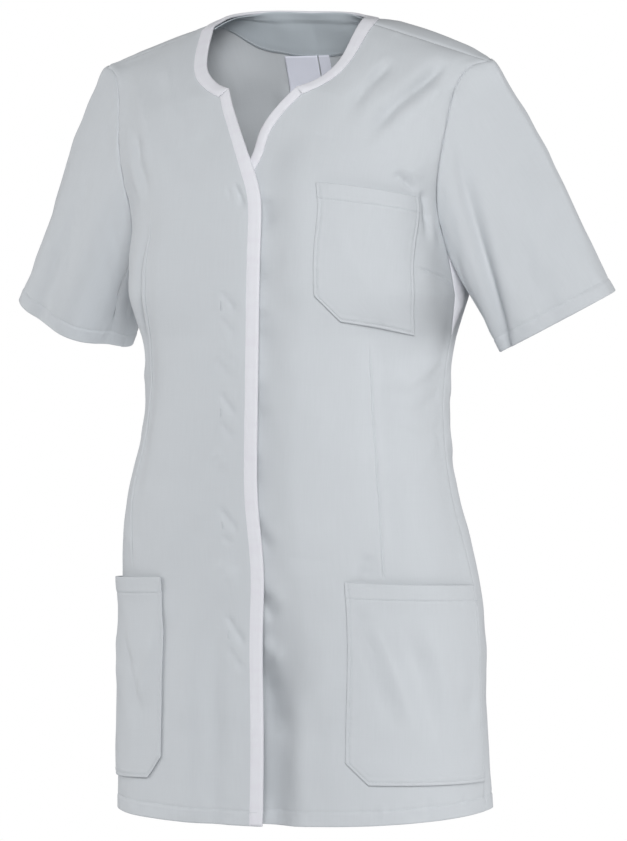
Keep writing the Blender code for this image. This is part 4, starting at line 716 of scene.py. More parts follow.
# Rings from the armhole, whose points start under the arm at the front, to the hem
def sleeveSheet(ring, creases, seed):
    closed = np.concatenate((ring, ring[:1]))
    along = reached(closed)
    top = int(np.argmax(ring[:, 2]))
    turn = np.interp(along, (0, along[top], along[-1]), (math.pi, 0, -math.pi))[:-1]
    axis = unit(np.array(sleeveCut["axis"]))
    wide = unit(np.cross(np.array((0, -1.0, 0)), axis))
    wide = wide if wide[0] > 0 else -wide
    deep = unit(np.cross(axis, wide))
    deep = deep if deep[1] < 0 else -deep
    hem = np.array(sleeveCut["centre"])
    hem = hem + np.cos(turn)[:, None] * sleeveCut["halfWidth"] * wide
    hem = hem + np.sin(turn)[:, None] * sleeveCut["halfDepth"] * deep
    under = ((1 - np.cos(turn)) / 2)[:, None]
    leave = unit(np.array(sleeveCut["headWay"]) * (1 - under)
                 + np.array(sleeveCut["underWay"]) * under)
    reach = np.linalg.norm(hem - ring, axis=1, keepdims=True)
    length = reach[:, 0].mean()
    rows = tunicFit["sleeveRows"]
    main = np.linspace(0, 1 - 0.018 / length, rows + 1 - 18)
    t = np.concatenate((main[:-1], np.linspace(main[-1], 1, 19)))[:, None, None]
    grid = (2 * t**3 - 3 * t**2 + 1) * ring + (t**3 - 2 * t**2 + t) * leave * reach
    grid = grid + (3 * t**2 - 2 * t**3) * hem + (t**3 - t**2) * axis * reach
    normals = gridNormals(grid, wrap=True)
    place = np.degrees(turn)[None, :] % 360
    t = t[..., 0]
    lift = np.zeros(grid.shape[:2])
    for fold in table(sleeveColumns, sleeveFolds) + table(sleeveColumns, creases):
        middle = fold["head"] + (fold["hem"] - fold["head"]) * t
        away = (place - middle + 180) % 360 - 180
        grow = smooth((t - fold["from"]) / (fold["to"] - fold["from"]) * 1.6)
        if fold["to"] < 1:
            grow = grow * smooth((1.15 - t) / 0.3)
        lift += fold["height"] * grow * np.exp(-((away / fold["halfWidth"]) ** 2))
    girth = along[None, :-1] + 0 * t
    down = t * reach[:, 0]
    lift += clothMake["unevenness"] * smooth(t / 0.12) * (
        patches(girth, down * 0.5, 0.045, seed) + 0.4 * patches(girth, down, 0.020, seed + 1))
    # the head's fullness is eased into the armhole
    upper = smooth((np.cos(np.radians(place)) + 0.35) / 0.6)
    lift += clothMake["headEase"] * upper * np.exp(-(((down - 0.011) / 0.009) ** 2))
    lift += 0.00045 * upper * patches(girth, down * 0.25, 0.011, seed + 2) * np.exp(-((down / 0.022) ** 2))
    lift += seamLift(down + 0.0002, girth, seed + 3)
    lift += hemLift(girth, (1 - t) * reach[:, 0], seed + 4)
    uv = np.stack((girth, -down), axis=-1)
    return grid + normals * lift[..., None], uv, (1 - t) * reach[:, 0]


# Rows between the two panels' edges, from the armhole's floor down to the tip
def gussetSheet(frontEdge, backEdge, columns=24):
    rows = []
    depth = frontEdge[:, 2] - frontEdge[-1, 2]
    for front, back, left in zip(frontEdge, backEdge, depth / depth[0]):
        middle = (front + back) / 2
        out = sidePoint(np.array(middle[2]), np.array(0.0))
        crown = out + np.array((0.0035 * left, 0, -0.022 * left))
        p = np.linspace(0, 1, columns + 1)[:, None]
        rows.append(front * (1 - p) + back * p + 4 * p * (1 - p) * (crown - middle))
    return np.array(rows)


def gridTree(grids):
    points, faces = [], []
    start = 0
    for grid in grids:
        rows, columns = grid.shape[:2]
        points += grid.reshape(-1, 3).tolist()
        i, j = np.meshgrid(np.arange(rows - 1), np.arange(columns - 1), indexing="ij")
        a = start + i * columns + j
        faces += np.stack((a, a + columns, a + columns + 1, a + 1), axis=-1).reshape(-1, 4).tolist()
        start += rows * columns
    return BVHTree.FromPolygons(points, faces)


# The nearest place on the cloth and the way out of it
def laid(tree, point):
    place, normal, _, _ = tree.find_nearest(Vector(point))
    return np.array(place), np.array(normal)


def material(name):
    return bpy.data.materials[name]


# A piece of the tunic from points and faces, with its flat place in metres as its UV map
def addPiece(name, points, faces, uv, finish, merge=False):
    points = tilted(np.asarray(points).reshape(-1, 3))
    mesh = bpy.data.meshes.new(name)
    mesh.from_pydata(points.tolist(), [], faces)
    corners = np.empty(len(mesh.loops), int)
    mesh.loops.foreach_get("vertex_index", corners)
    layer = mesh.uv_layers.new(name="clothUv")
    layer.data.foreach_set("uv", np.asarray(uv, float).reshape(-1, 2)[corners].ravel())
    work = bmesh.new()
    work.from_mesh(mesh)
    if merge:
        bmesh.ops.remove_doubles(work, verts=work.verts, dist=1e-6)
    if work.calc_volume(signed=True) < 0:
        bmesh.ops.reverse_faces(work, faces=work.faces)
    work.to_mesh(mesh)
    work.free()
    mesh.shade_smooth()
    mesh.materials.append(material(finish))
    piece = bpy.data.objects.new(name, mesh)
    bpy.context.scene.collection.objects.link(piece)
    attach(piece, "root")
    return piece


# A sheet as a thin closed shell with rounded rims; out and into are its skins' heights
def shell(grid, normals, out, into, wrap=False):
    rows, columns = grid.shape[:2]
    out = np.broadcast_to(out, (rows, columns))[..., None]
    into = np.broadcast_to(into, (rows, columns))[..., None]
    outer, inner = grid + normals * out, grid - normals * into
    index = np.arange(rows * columns).reshape(rows, columns)
    if wrap:
        index = np.concatenate((index, index[:, :1]), axis=1)
    a, b, c, d = index[:-1, :-1], index[1:, :-1], index[1:, 1:], index[:-1, 1:]
    skin = np.stack((a, b, c, d), axis=-1).reshape(-1, 4)
    behind = rows * columns
    faces = skin.tolist() + (skin[:, ::-1] + behind).tolist()
    if wrap:
        loops = [index[0], index[-1][::-1]]
    else:
        loops = [np.concatenate((index[0], index[1:, -1], index[-1, -2::-1], index[-2::-1, 0]))]
    points = [outer.reshape(-1, 3), inner.reshape(-1, 3)]
    owners = [np.arange(behind), np.arange(behind)]
    start = 2 * behind
    flat, way = grid.reshape(-1, 3), outwards(grid, wrap).reshape(-1, 3)
    middles = ((outer + inner) / 2).reshape(-1, 3)
    for loop in loops:
        rim = loop[:-1]
        thick = np.linalg.norm((outer - inner).reshape(-1, 3)[rim], axis=1, keepdims=True)
        points.append(middles[rim] + way[rim] * thick * 0.32)
        owners.append(rim)
        at = np.arange(len(rim)) + start
        at = np.concatenate((at, at[:1]))
        faces += np.stack((loop[:-1], loop[1:], at[1:], at[:-1]), axis=-1).tolist()
        faces += np.stack((at[:-1], at[1:], loop[1:] + behind, loop[:-1] + behind), axis=-1).tolist()
        start += len(rim)
    return np.concatenate(points), faces, np.concatenate(owners)


# Directions away from the sheet at its rims
def outwards(grid, wrap):
    way = np.zeros(grid.shape)
    way[0] += unit(grid[0] - grid[1])
    way[-1] += unit(grid[-1] - grid[-2])
    if not wrap:
        way[:, 0] += unit(grid[:, 0] - grid[:, 1])
        way[:, -1] += unit(grid[:, -1] - grid[:, -2])
    return unit(way)


def addSheet(name, grid, uv, finish, normals=None, out=None, into=None, wrap=False,
             merge=False):
    normals = gridNormals(grid, wrap) if normals is None else normals
    half = clothMake["wall"] / 2
    points, faces, owners = shell(grid, normals, half if out is None else out,
                                  half if into is None else into, wrap)
    uv = np.asarray(uv, float).reshape(-1, 2)[owners]
    return addPiece(name, points, faces, uv, finish, merge)


# Binding tape: its cross-section as (distance from the fold, height over the cloth's middle)
tapeCut = {
    "near": 0.00050,
    "outer": ((0.01200, 0.0007), (0.01185, 0.0012), (0.01130, 0.00145), (0.01075, 0.00125),
              (0.01020, 0.00155), (0.00600, 0.00185), (0.00180, 0.00170), (0.00000, 0.00155)),
    "fold": ((-0.00080, 0.0011), (-0.00125, 0.0000), (-0.00080, -0.0011)),
    "inner": ((0.00000, -0.0015), (0.00300, -0.0015), (0.00690, -0.0014), (0.00750, -0.0008)),
    "ripple": 0.00022,
    "ripplePitch": 0.0075,
}


# A folded tape that takes in the cloth's edge; mitre leans its first or last rings, and wide is
# the share of the full width at each distance along
def tapeRings(edge, normals, tree, mitres, wide, seed):
    way = unit(np.gradient(edge, axis=0))
    across = unit(np.cross(way, normals))
    at = reached(edge)
    near = tapeCut["near"]
    hidden = ((0.00740, -near), (-0.00020, -near), (-0.00020, near), (0.01180, near))
    section = tapeCut["outer"] + tapeCut["fold"] + tapeCut["inner"] + hidden
    wide = np.interp(at, *zip(*wide))
    wave = tapeCut["ripple"] * patches(at, at * 0 + seed, tapeCut["ripplePitch"], seed)
    rings, uv = [], []
    last = len(edge) - 1
    for i, (point, normal, over) in enumerate(zip(edge, normals, across)):
        inside, _ = laid(tree, point + over * 0.006)
        other, _ = laid(tree, point - over * 0.006)
        if np.linalg.norm(other - point) > np.linalg.norm(inside - point):
            over = -over
        slant = mitres[0] * max(0, 1 - at[i] / 0.006)
        slant += mitres[1] * max(0, 1 - (at[last] - at[i]) / 0.006)
        over = over + way[i] * slant
        ring, flat = [], []
        for k, (reach, height) in enumerate(section):
            if k < 7 and k > 1:
                height = height + wave[i] * math.sin(math.pi * reach / 0.012)
            if reach > 0:
                place, face = laid(tree, point + over * reach * wide[i])
                face = face if face @ normal > 0 else -face
                ring.append(place + unit(face + normal * 0.5) * height)
            else:
                ring.append(point + over * reach + normal * height)
            flat.append((reach if height > 0 else -reach - 0.003, at[i]))
        rings.append(ring)
        uv.append(flat)
    return np.array(rings), np.array(uv)


# A closed solid through rings of points, capped at both ends
def ringFaces(count, sides):
    faces = []
    for i in range(count - 1):
        for j in range(sides):
            k = (j + 1) % sides
            a, b = i * sides, (i + 1) * sides
            faces.append((a + j, b + j, b + k, a + k))
    end = (count - 1) * sides
    half = sides // 2
    for start, turned in ((0, False), (end, True)):
        cap = [(start + j, start + j + 1, start + sides - 2 - j, start + sides - 1 - j)
               for j in range(half - 1)]
        if sides % 2:
            cap.append((start + half - 1, start + half, start + sides - half))
        faces += [face[::-1] if turned else face for face in cap]
    return faces


# Sewn stitches along lines of (places, normals): small raised dashes, one mesh for each thread
stitch = {"pitch": 0.0030, "length": 0.0023, "width": 0.00042, "rise": 0.00028}


def addStitches(name, lines, finish="sewingThread", pitch=None):
    pitch = pitch or stitch["pitch"]
    points, faces = [], []
    for places, normals in lines:
        at = reached(places)
        count = max(1, int(at[-1] / pitch))
        spots = (np.arange(count) + 0.5) * at[-1] / count
        middle = placesAt(spots, at, places)
        way = unit(placesAt(spots + 0.0005, at, places) - placesAt(spots - 0.0005, at, places))
        normal = unit(placesAt(spots, at, normals))
        side = unit(np.cross(way, normal))
        half = min(stitch["length"], pitch * 0.78) / 2
        wide, rise = stitch["width"] / 2, stitch["rise"]
        shape = [(-half, 0, -0.0001)]
        for reach in (-half * 0.6, half * 0.6):
            shape += [(reach, -wide, 0), (reach, 0, rise), (reach, wide, 0), (reach, 0, -0.0002)]
        shape.append((half, 0, -0.0001))
        for centre, x, y, z in zip(middle, way, side, normal):
            start = len(points)
            points += [centre + x * a + y * b + z * c for a, b, c in shape]
            for k in range(4):
                m = (k + 1) % 4
                faces.append((start, start + 1 + m, start + 1 + k))
                faces.append((start + 1 + k, start + 1 + m, start + 5 + m, start + 5 + k))
                faces.append((start + 9, start + 5 + k, start + 5 + m))
    points = np.array(points)
    return addPiece(name, points, faces, points[:, (0, 2)], finish)


# Finishes, as linear colours
finishes = {
    "tunicCloth": {"colour": (0.552, 0.580, 0.608), "roughness": 0.78, "sheen": 0.12},
    "pocketCloth": {"colour": (0.552, 0.580, 0.608), "roughness": 0.78, "sheen": 0.12},
    "facingCloth": {"colour": (0.480, 0.530, 0.570), "roughness": 0.82, "sheen": 0.08},
    "bindingTape": {"colour": (0.720, 0.728, 0.770), "roughness": 0.70, "sheen": 0.15},
    "labelTape": {"colour": (0.780, 0.800, 0.900), "roughness": 0.55, "sheen": 0.05},
    "sewingThread": {"colour": (0.560, 0.585, 0.615), "roughness": 0.60, "sheen": 0.10},
    "bindingThread": {"colour": (0.690, 0.698, 0.740), "roughness": 0.60, "sheen": 0.10},
}
yarn = {"pitch": 0.00052, "height": 0.00006, "slubWidth": 0.0011, "slubLength": 0.030}


def nodeGroup(name, inputs, outputs):
    group = bpy.data.node_groups.new(name, "ShaderNodeTree")
    for title, kind, value in inputs:
        socket = group.interface.new_socket(title, in_out="INPUT", socket_type=kind)
        if value is not None:
            socket.default_value = value
    for title, kind in outputs:
        group.interface.new_socket(title, in_out="OUTPUT", socket_type=kind)
    return group, group.nodes.new("NodeGroupInput"), group.nodes.new("NodeGroupOutput")


def node(tree, kind, at=(0, 0), **values):
    made = tree.nodes.new(kind)
    made.location = at
    for key, value in values.items():
        if hasattr(made, key):
            setattr(made, key, value)
        else:
            made.inputs[key].default_value = value
    return made


def maths(tree, operation, first, second):
    made = tree.nodes.new("ShaderNodeMath")
    made.operation = operation
    for socket, value in zip(made.inputs, (first, second)):
        if isinstance(value, (int, float)):
            socket.default_value = value
        else:
            tree.links.new(value, socket)
    return made.outputs[0]


# Plain weave with thicker yarns here and there, read from the cloth's own flat map
def weaveGroup():
    group, given, made = nodeGroup(
        "plainWeave",
        (("Place", "NodeSocketVector", None), ("Pitch", "NodeSocketFloat", yarn["pitch"]),
         ("Slub", "NodeSocketFloat", 0.5)),
        (("Height", "NodeSocketFloat"), ("Tone", "NodeSocketFloat")))
    links = group.links
    split = node(group, "ShaderNodeSeparateXYZ")
    links.new(given.outputs["Place"], split.inputs[0])
    turns = maths(group, "DIVIDE", math.pi, given.outputs["Pitch"])
    warp = maths(group, "ABSOLUTE", maths(group, "SINE", maths(
        group, "MULTIPLY", split.outputs["X"], turns), 0), 0)
    weft = maths(group, "ABSOLUTE", maths(group, "SINE", maths(
        group, "MULTIPLY", split.outputs["Y"], turns), 0), 0)
    threads = maths(group, "ADD", maths(group, "MULTIPLY", warp, 0.55),
                    maths(group, "MULTIPLY", weft, 0.45))
    slubs = []
    for long, wide in (((1 / yarn["slubWidth"], 1 / yarn["slubLength"]), 0.7),
                       ((0.6 / yarn["slubLength"], 0.8 / yarn["slubWidth"]), 0.3)):
        stretch = node(group, "ShaderNodeMapping")
        stretch.inputs["Scale"].default_value = (long[0], long[1], 1)
        noise = node(group, "ShaderNodeTexNoise", Scale=1.0, Detail=2.0, Roughness=0.55)
        links.new(given.outputs["Place"], stretch.inputs["Vector"])
        links.new(stretch.outputs[0], noise.inputs["Vector"])
        slubs.append(maths(group, "MULTIPLY", maths(group, "SUBTRACT", noise.outputs["Fac"], 0.5),
                           wide))
    slub = maths(group, "MULTIPLY", maths(group, "ADD", *slubs), given.outputs["Slub"])
    links.new(maths(group, "ADD", threads, maths(group, "MULTIPLY", slub, 1.6)),
              made.inputs["Height"])
    links.new(maths(group, "ADD", 1.0, maths(group, "MULTIPLY", slub, 0.16)), made.inputs["Tone"])
    return group


# Soft uneven tone from washing and pressing, on the piece's own coordinates
def washGroup():
    group, given, made = nodeGroup(
        "washedTone",
        (("Place", "NodeSocketVector", None), ("Colour", "NodeSocketColor", (0.5, 0.5, 0.5, 1)),
         ("Tone", "NodeSocketFloat", 1.0), ("Strength", "NodeSocketFloat", 0.05)),
        (("Colour", "NodeSocketColor"), ("Roughness change", "NodeSocketFloat")))
    links = group.links
    cloud = node(group, "ShaderNodeTexNoise", Scale=9.0, Detail=4.0, Roughness=0.6)
    links.new(given.outputs["Place"], cloud.inputs["Vector"])
    drift = maths(group, "MULTIPLY", maths(group, "SUBTRACT", cloud.outputs["Fac"], 0.5),
                  given.outputs["Strength"])
    factor = maths(group, "MULTIPLY", maths(group, "ADD", 1.0, drift), given.outputs["Tone"])
    scale = node(group, "ShaderNodeVectorMath", operation="SCALE")
    links.new(given.outputs["Colour"], scale.inputs[0])
    links.new(factor, scale.inputs["Scale"])
    links.new(scale.outputs[0], made.inputs["Colour"])
    links.new(maths(group, "MULTIPLY", drift, 1.5), made.inputs["Roughness change"])
    return group


def clothFinish(name, weave, wash, pitch=None, slub=0.5, bump=0.35, tint=None):
    look = finishes[name]
    made = bpy.data.materials.new(name)
    made.use_nodes = True
    tree = made.node_tree
    links = tree.links
    shader = tree.nodes["Principled BSDF"]
    shader.inputs["Sheen Weight"].default_value = look["sheen"]
    shader.inputs["Sheen Roughness"].default_value = 0.6
    shader.inputs["Specular IOR Level"].default_value = 0.30
    flat = node(tree, "ShaderNodeUVMap", (-900, 0), uv_map="clothUv")
    place = node(tree, "ShaderNodeTexCoord", (-900, -300))
    threads = node(tree, "ShaderNodeGroup", (-650, 0), node_tree=weave)
    threads.inputs["Pitch"].default_value = pitch or yarn["pitch"]
    threads.inputs["Slub"].default_value = slub
    links.new(flat.outputs["UV"], threads.inputs["Place"])
    tone = node(tree, "ShaderNodeGroup", (-400, -100), node_tree=wash)
    tone.inputs["Colour"].default_value = (*look["colour"], 1)
    links.new(place.outputs["Object"], tone.inputs["Place"])
    links.new(threads.outputs["Tone"], tone.inputs["Tone"])
    colour = tone.outputs["Colour"]
    if tint is not None:
        bands = node(tree, "ShaderNodeMapping", (-650, -500))
        bands.inputs["Scale"].default_value = tint["scale"]
        noise = node(tree, "ShaderNodeTexNoise", (-450, -500), Scale=1.0, Detail=1.0)
        ramp = node(tree, "ShaderNodeMapRange", (-250, -500))
        ramp.inputs["From Min"].default_value = 0.45
        ramp.inputs["From Max"].default_value = 0.70
        ramp.inputs["To Max"].default_value = tint["share"]
        mix = node(tree, "ShaderNodeMix", (-100, -200), data_type="RGBA")
        links.new(flat.outputs["UV"], bands.inputs["Vector"])
        links.new(bands.outputs[0], noise.inputs["Vector"])
        links.new(noise.outputs["Fac"], ramp.inputs["Value"])
        links.new(ramp.outputs[0], mix.inputs["Factor"])
        links.new(colour, mix.inputs["A"])
        mix.inputs["B"].default_value = (*tint["colour"], 1)
        colour = mix.outputs["Result"]
    links.new(colour, shader.inputs["Base Color"])
    links.new(maths(tree, "ADD", look["roughness"], tone.outputs["Roughness change"]),
              shader.inputs["Roughness"])
    raised = node(tree, "ShaderNodeBump", (-200, -350))
    raised.inputs["Strength"].default_value = bump
    raised.inputs["Distance"].default_value = yarn["height"]
    links.new(threads.outputs["Height"], raised.inputs["Height"])
    links.new(raised.outputs[0], shader.inputs["Normal"])
    return made


# Brushed press-stud metal for the nodes that come from the solids
def studFinish():
    made = bpy.data.materials.new("studMetal")
    made.use_nodes = True
    tree = made.node_tree
    shader = tree.nodes["Principled BSDF"]
    shader.inputs["Metallic"].default_value = 0.85
    place = node(tree, "ShaderNodeTexCoord", (-700, 0))
    grain = node(tree, "ShaderNodeTexNoise", (-500, 0), Scale=900.0, Detail=3.0)
    ramp = node(tree, "ShaderNodeMapRange", (-300, 0))
    ramp.inputs["To Min"].default_value = 0.28
    ramp.inputs["To Max"].default_value = 0.48
    mix = node(tree, "ShaderNodeMix", (-300, 200), data_type="RGBA")
    mix.inputs["A"].default_value = (0.56, 0.56, 0.58, 1)
    mix.inputs["B"].default_value = (0.66, 0.66, 0.67, 1)
    tree.links.new(place.outputs["Object"], grain.inputs["Vector"])
    tree.links.new(grain.outputs["Fac"], ramp.inputs["Value"])
    tree.links.new(ramp.outputs[0], shader.inputs["Roughness"])
    tree.links.new(grain.outputs["Fac"], mix.inputs["Factor"])
    tree.links.new(mix.outputs["Result"], shader.inputs["Base Color"])
    return made


def makeFinishes():
    weave, wash = weaveGroup(), washGroup()
    clothFinish("tunicCloth", weave, wash)
    clothFinish("pocketCloth", weave, wash)
    clothFinish("facingCloth", weave, wash)
    clothFinish("bindingTape", weave, wash, pitch=0.0004, slub=0.25, bump=0.25,
                tint={"scale": (20, 95, 1), "colour": (0.700, 0.690, 0.745), "share": 0.55})
    clothFinish("labelTape", weave, wash, pitch=0.00022, slub=0.15, bump=0.2)
    clothFinish("sewingThread", weave, wash, pitch=0.0002, slub=0.1, bump=0.3)
    clothFinish("bindingThread", weave, wash, pitch=0.0002, slub=0.1, bump=0.3)
    metal = studFinish()
    for k in range(1, 6):
        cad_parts[f"press_stud_{k}"].data.materials[0] = metal
    print("finishes made")


makeFinishes()

outerFront = frontPanel("right")
panels = {"left": frontPanel("left", outerFront), "right": outerFront}
back = backPanel()


# Shares across a panel: even columns, finer by the outer seam and round the share of a dart
def columnShares(length, step, dart=2.0):
    even = np.linspace(0, 1, int(length / step) + 1)
    rim = 1 - np.linspace(0.0070, 0, 8) / length
    even = even[(even < rim[0] - 0.3 * step / length) & (np.abs(even - dart) > 0.0055 / length)]
    close = dart + np.linspace(-0.0045, 0.0045, 14) / length
    return np.sort(np.concatenate((even, rim, close[close < 1])))


# The shares bent sideways, so that the fine columns keep to the dart
def besideDart(panel, across, down, line, dart):
    line = np.array(line)
    z = tunicFit["underarm"] - (down - panel.knots[panel.under])
    share = panel.shareOf(np.interp(-z, -line[:, 1], line[:, 0]), down)
    return np.where(across < dart, across * share / dart,
                    1 - (1 - across) * (1 - share) / (1 - dart))


# Extra thickness on the inner side where the hem is turned up
def innerHeights(rise):
    half = clothMake["wall"] / 2
    return half + clothMake["hemThick"] * smooth((clothMake["hemDepth"] - rise) / 0.001)


sheets, sheetUv, sleeveRise = {}, {}, {}
for side, panel in panels.items():
    down = panel.levels(tunicFit["frontStep"])
    low, high = panel.downAt(dartCut["sideTop"]), panel.downAt(dartCut["sideFoot"])
    fine = dartCut["fine"]
    down = np.concatenate((down[(down < low - fine) | (down > high + fine)],
                           np.arange(low, high, fine)))
    down = np.sort(down)[:, None]
    across = columnShares(tunicFit["frontGirth"], tunicFit["frontStep"], dartCut["share"])[None, :]
    across = besideDart(panel, across, down, dartCut[side], dartCut["share"])
    grid = panel.points(across, down)
    flat = np.stack((panel.girth(across, down) + 0 * down, -down + 0 * across), axis=-1)
    sheets["front_" + side] = grid if side == "left" else mirrored(grid)
    sheetUv["front_" + side] = flat if side == "left" else flat[:, ::-1] * np.array((-1, 1))
down = back.levels(tunicFit["backStep"])[:, None]
across = columnShares(tunicFit["backGirth"], tunicFit["backStep"])[None, :]
back.flip = -1
otherHalf = back.points(across, down)[:, 1:] * flip
back.flip = 1
half = back.points(across, down)
sheets["back"] = np.concatenate((half[:, ::-1], otherHalf), axis=1)
flat = np.stack((back.girth(across, down) + 0 * down, -down + 0 * across), axis=-1)
sheetUv["back"] = np.concatenate((-flat[:, ::-1], flat[:, 1:]), axis=1)
sheetUv["back"][..., 1] = -down
print("fronts and back shaped")

for side in ("left", "right"):
    name = "front_" + side
    grid = sheets[name]
    piece = addSheet("clothFront" + side.title(), grid, sheetUv[name], "tunicCloth",
                     into=innerHeights(grid[..., 2] - tunicFit["hem"]))
    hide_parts(name)
grid = sheets["back"]
piece = addSheet("clothBack", grid, sheetUv["back"], "tunicCloth",
                 into=innerHeights(grid[..., 2] - tunicFit["hem"]))
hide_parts("back")
print("fronts and back made")

# Gussets and sleeves share the panels' edges round the armholes
gussetDrop = np.linspace(0, tunicFit["underarm"] - tunicFit["gussetTip"], 30)
armDown = panels["left"].levels(0.003)
armDown = armDown[armDown < panels["left"].knots[panels["left"].under] - 0.001]
backDown = back.levels(0.003)
backDown = backDown[(backDown > 0.001) & (backDown < back.knots[back.under] - 0.001)]
frontEdge = panels["left"].outerEdge(panels["left"].knots[panels["left"].under] + gussetDrop)
backEdge = back.outerEdge(back.knots[back.under] + gussetDrop)
gusset = gussetSheet(frontEdge, backEdge)
floor = gusset[0]
middle = len(floor) // 2
ring = np.concatenate((floor[middle::-1], panels["left"].outerEdge(armDown)[::-1],
                       back.outerEdge(backDown), floor[:middle:-1]))
for side in ("left", "right"):
    sleeve, flat, rise = sleeveSheet(ring, sleeveCreases[side], 61 if side == "left" else 83)
    if side == "right":
        sleeve, flat, rise = mirrored(sleeve), flat[:, ::-1] * np.array((-1, 1)), rise[:, ::-1]
    sheets["sleeve_" + side] = sleeve
    sleeveRise[side] = rise
    piece = addSheet("clothSleeve" + side.title(), sleeve, flat, "tunicCloth",
                     into=innerHeights(rise), wrap=True)
    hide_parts("sleeve_" + side)
    grid = gusset if side == "left" else mirrored(gusset)
    piece = addSheet("gusset" + side.title(), grid, grid[..., 1:], "bindingTape",
                     merge=True)
    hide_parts("gusset_" + side)
print("sleeves and gussets made")


# Points and normals from the right front's corner, round the back, to the left's
def neckLine():
    parts = []
    for side in ("right", "left"):
        panel = panels[side]
        down = panel.knots[panel.corner] * np.linspace(0, 1, 40)[:, None]
        edge = panel.points(np.zeros((1, 1)), down)[:, 0]
        normal = panel.normal(np.zeros((1, 1)), down)[:, 0]
        parts.append((edge * flip, normal * flip) if side == "right" else (edge, normal))
    share = np.linspace(0, tunicFit["neckShare"], 50)[None, :]
    half = back.points(share, np.zeros((1, 1)))[0]
    normal = back.normal(share, np.full((1, 1), 0.002))[0]
    backEdge = np.concatenate((half[::-1] * flip, half[1:]))
    backNormal = np.concatenate((normal[::-1] * flip, normal[1:]))
    edge = np.concatenate((parts[0][0][:0:-1], backEdge, parts[1][0][1:]))
    normals = np.concatenate((parts[0][1][:0:-1], backNormal, parts[1][1][1:]))
    for _ in range(60):
        normals[1:-1] = unit(normals[:-2] + 2 * normals[1:-1] + normals[2:])
    return edge, normals


def evenly(line, step):
    at = reached(line[0])
    spots = np.linspace(0, at[-1], int(at[-1] / step))
    return [placesAt(spots, at, part) for part in line]


# How far a mitre leans where the neck edge turns into a front's edge
def mitreAt(corner, before, panel, sign):
    after = panel.points(np.zeros(1), panel.knots[panel.corner] + np.array([0.004]))[0] * sign
    turn = unit(corner - before) @ unit(after - corner)
    return math.tan(math.acos(np.clip(turn, -1, 1)) / 2)


# Each tape's share of the full width, at distances along it
tapeWidths = {
    "neck": ((0.0, 0.86), (0.040, 1.0), (0.330, 1.0), (0.436, 0.74)),
    "right": ((0.0, 0.82), (0.040, 0.84), (0.120, 1.0)),
    "left": ((0.0, 0.74), (0.110, 0.76), (0.180, 1.0)),
}


def makeBindings():
    tree = gridTree([sheets[name] for name in ("front_left", "front_right", "back")])
    edge, normals = evenly(neckLine(), 0.0022)
    mitres = {"right": mitreAt(edge[0], edge[3], panels["right"], flip),
              "left": mitreAt(edge[-1], edge[-4], panels["left"], 1)}
    tapes = [("bindingNeck", "neck_binding", (edge, normals), tree,
              (mitres["right"], -mitres["left"]), "neck", 3)]
    for name, side, seed in (("bindingRight", "right", 8), ("bindingLeft", "left", 13)):
        panel = panels[side]
        down = np.linspace(panel.knots[panel.corner] - 0.0003, panel.knots[-1], 260)[:, None]
        edge = panel.points(np.zeros((1, 1)), down)[:, 0]
        normals = panel.normal(np.zeros((1, 1)), down)[:, 0]
        sign = flip if side == "right" else 1
        tapes.append((name, "edge_binding_" + side, evenly((edge * sign, normals * sign), 0.0026),
                      gridTree([sheets["front_" + side]]), (mitres[side], 0), side, seed))
    lines = []
    for name, solid, line, grids, ends, wide, seed in tapes:
        rings, flat = tapeRings(*line, grids, ends, tapeWidths[wide], seed)
        piece = addPiece(name, rings, ringFaces(*rings.shape[:2]), flat, "bindingTape")
        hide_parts(solid)
        lines.append((rings[:, 3], line[1]))
    addStitches("stitchesBinding", lines, "bindingThread")
    print("bindings made")


makeBindings()


# Patch pockets: girths from the centre front; a width of None reaches the side seam
pocketCut = {
    "chest_pocket": {"piece": "pocketChest", "panel": "left", "inner": 0.0690, "width": 0.098,
                     "top": -0.160, "foot": -0.287, "slope": 0.012, "chamfer": 0.024,
                     "flat": (0.098, 0.140), "area": 0.0123},
    "lower_pocket_left": {"piece": "pocketLowerLeft", "panel": "left", "inner": 0.0960,
                          "width": None, "top": -0.526, "foot": -0.714, "slope": 0.009,
                          "chamfer": 0.021, "flat": (0.165, 0.195), "area": 0.0293},
    "lower_pocket_right": {"piece": "pocketLowerRight", "panel": "right", "inner": 0.0960,
                           "width": None, "top": -0.526, "foot": -0.714, "slope": 0.009,
                           "chamfer": 0.021, "flat": (0.165, 0.195), "area": 0.0293},
}
pocketSew = {"hem": 0.0145, "edge": 0.0030, "turn": 0.0080, "gap": 0.00160, "gape": 0.0028,
             "step": 0.0019}
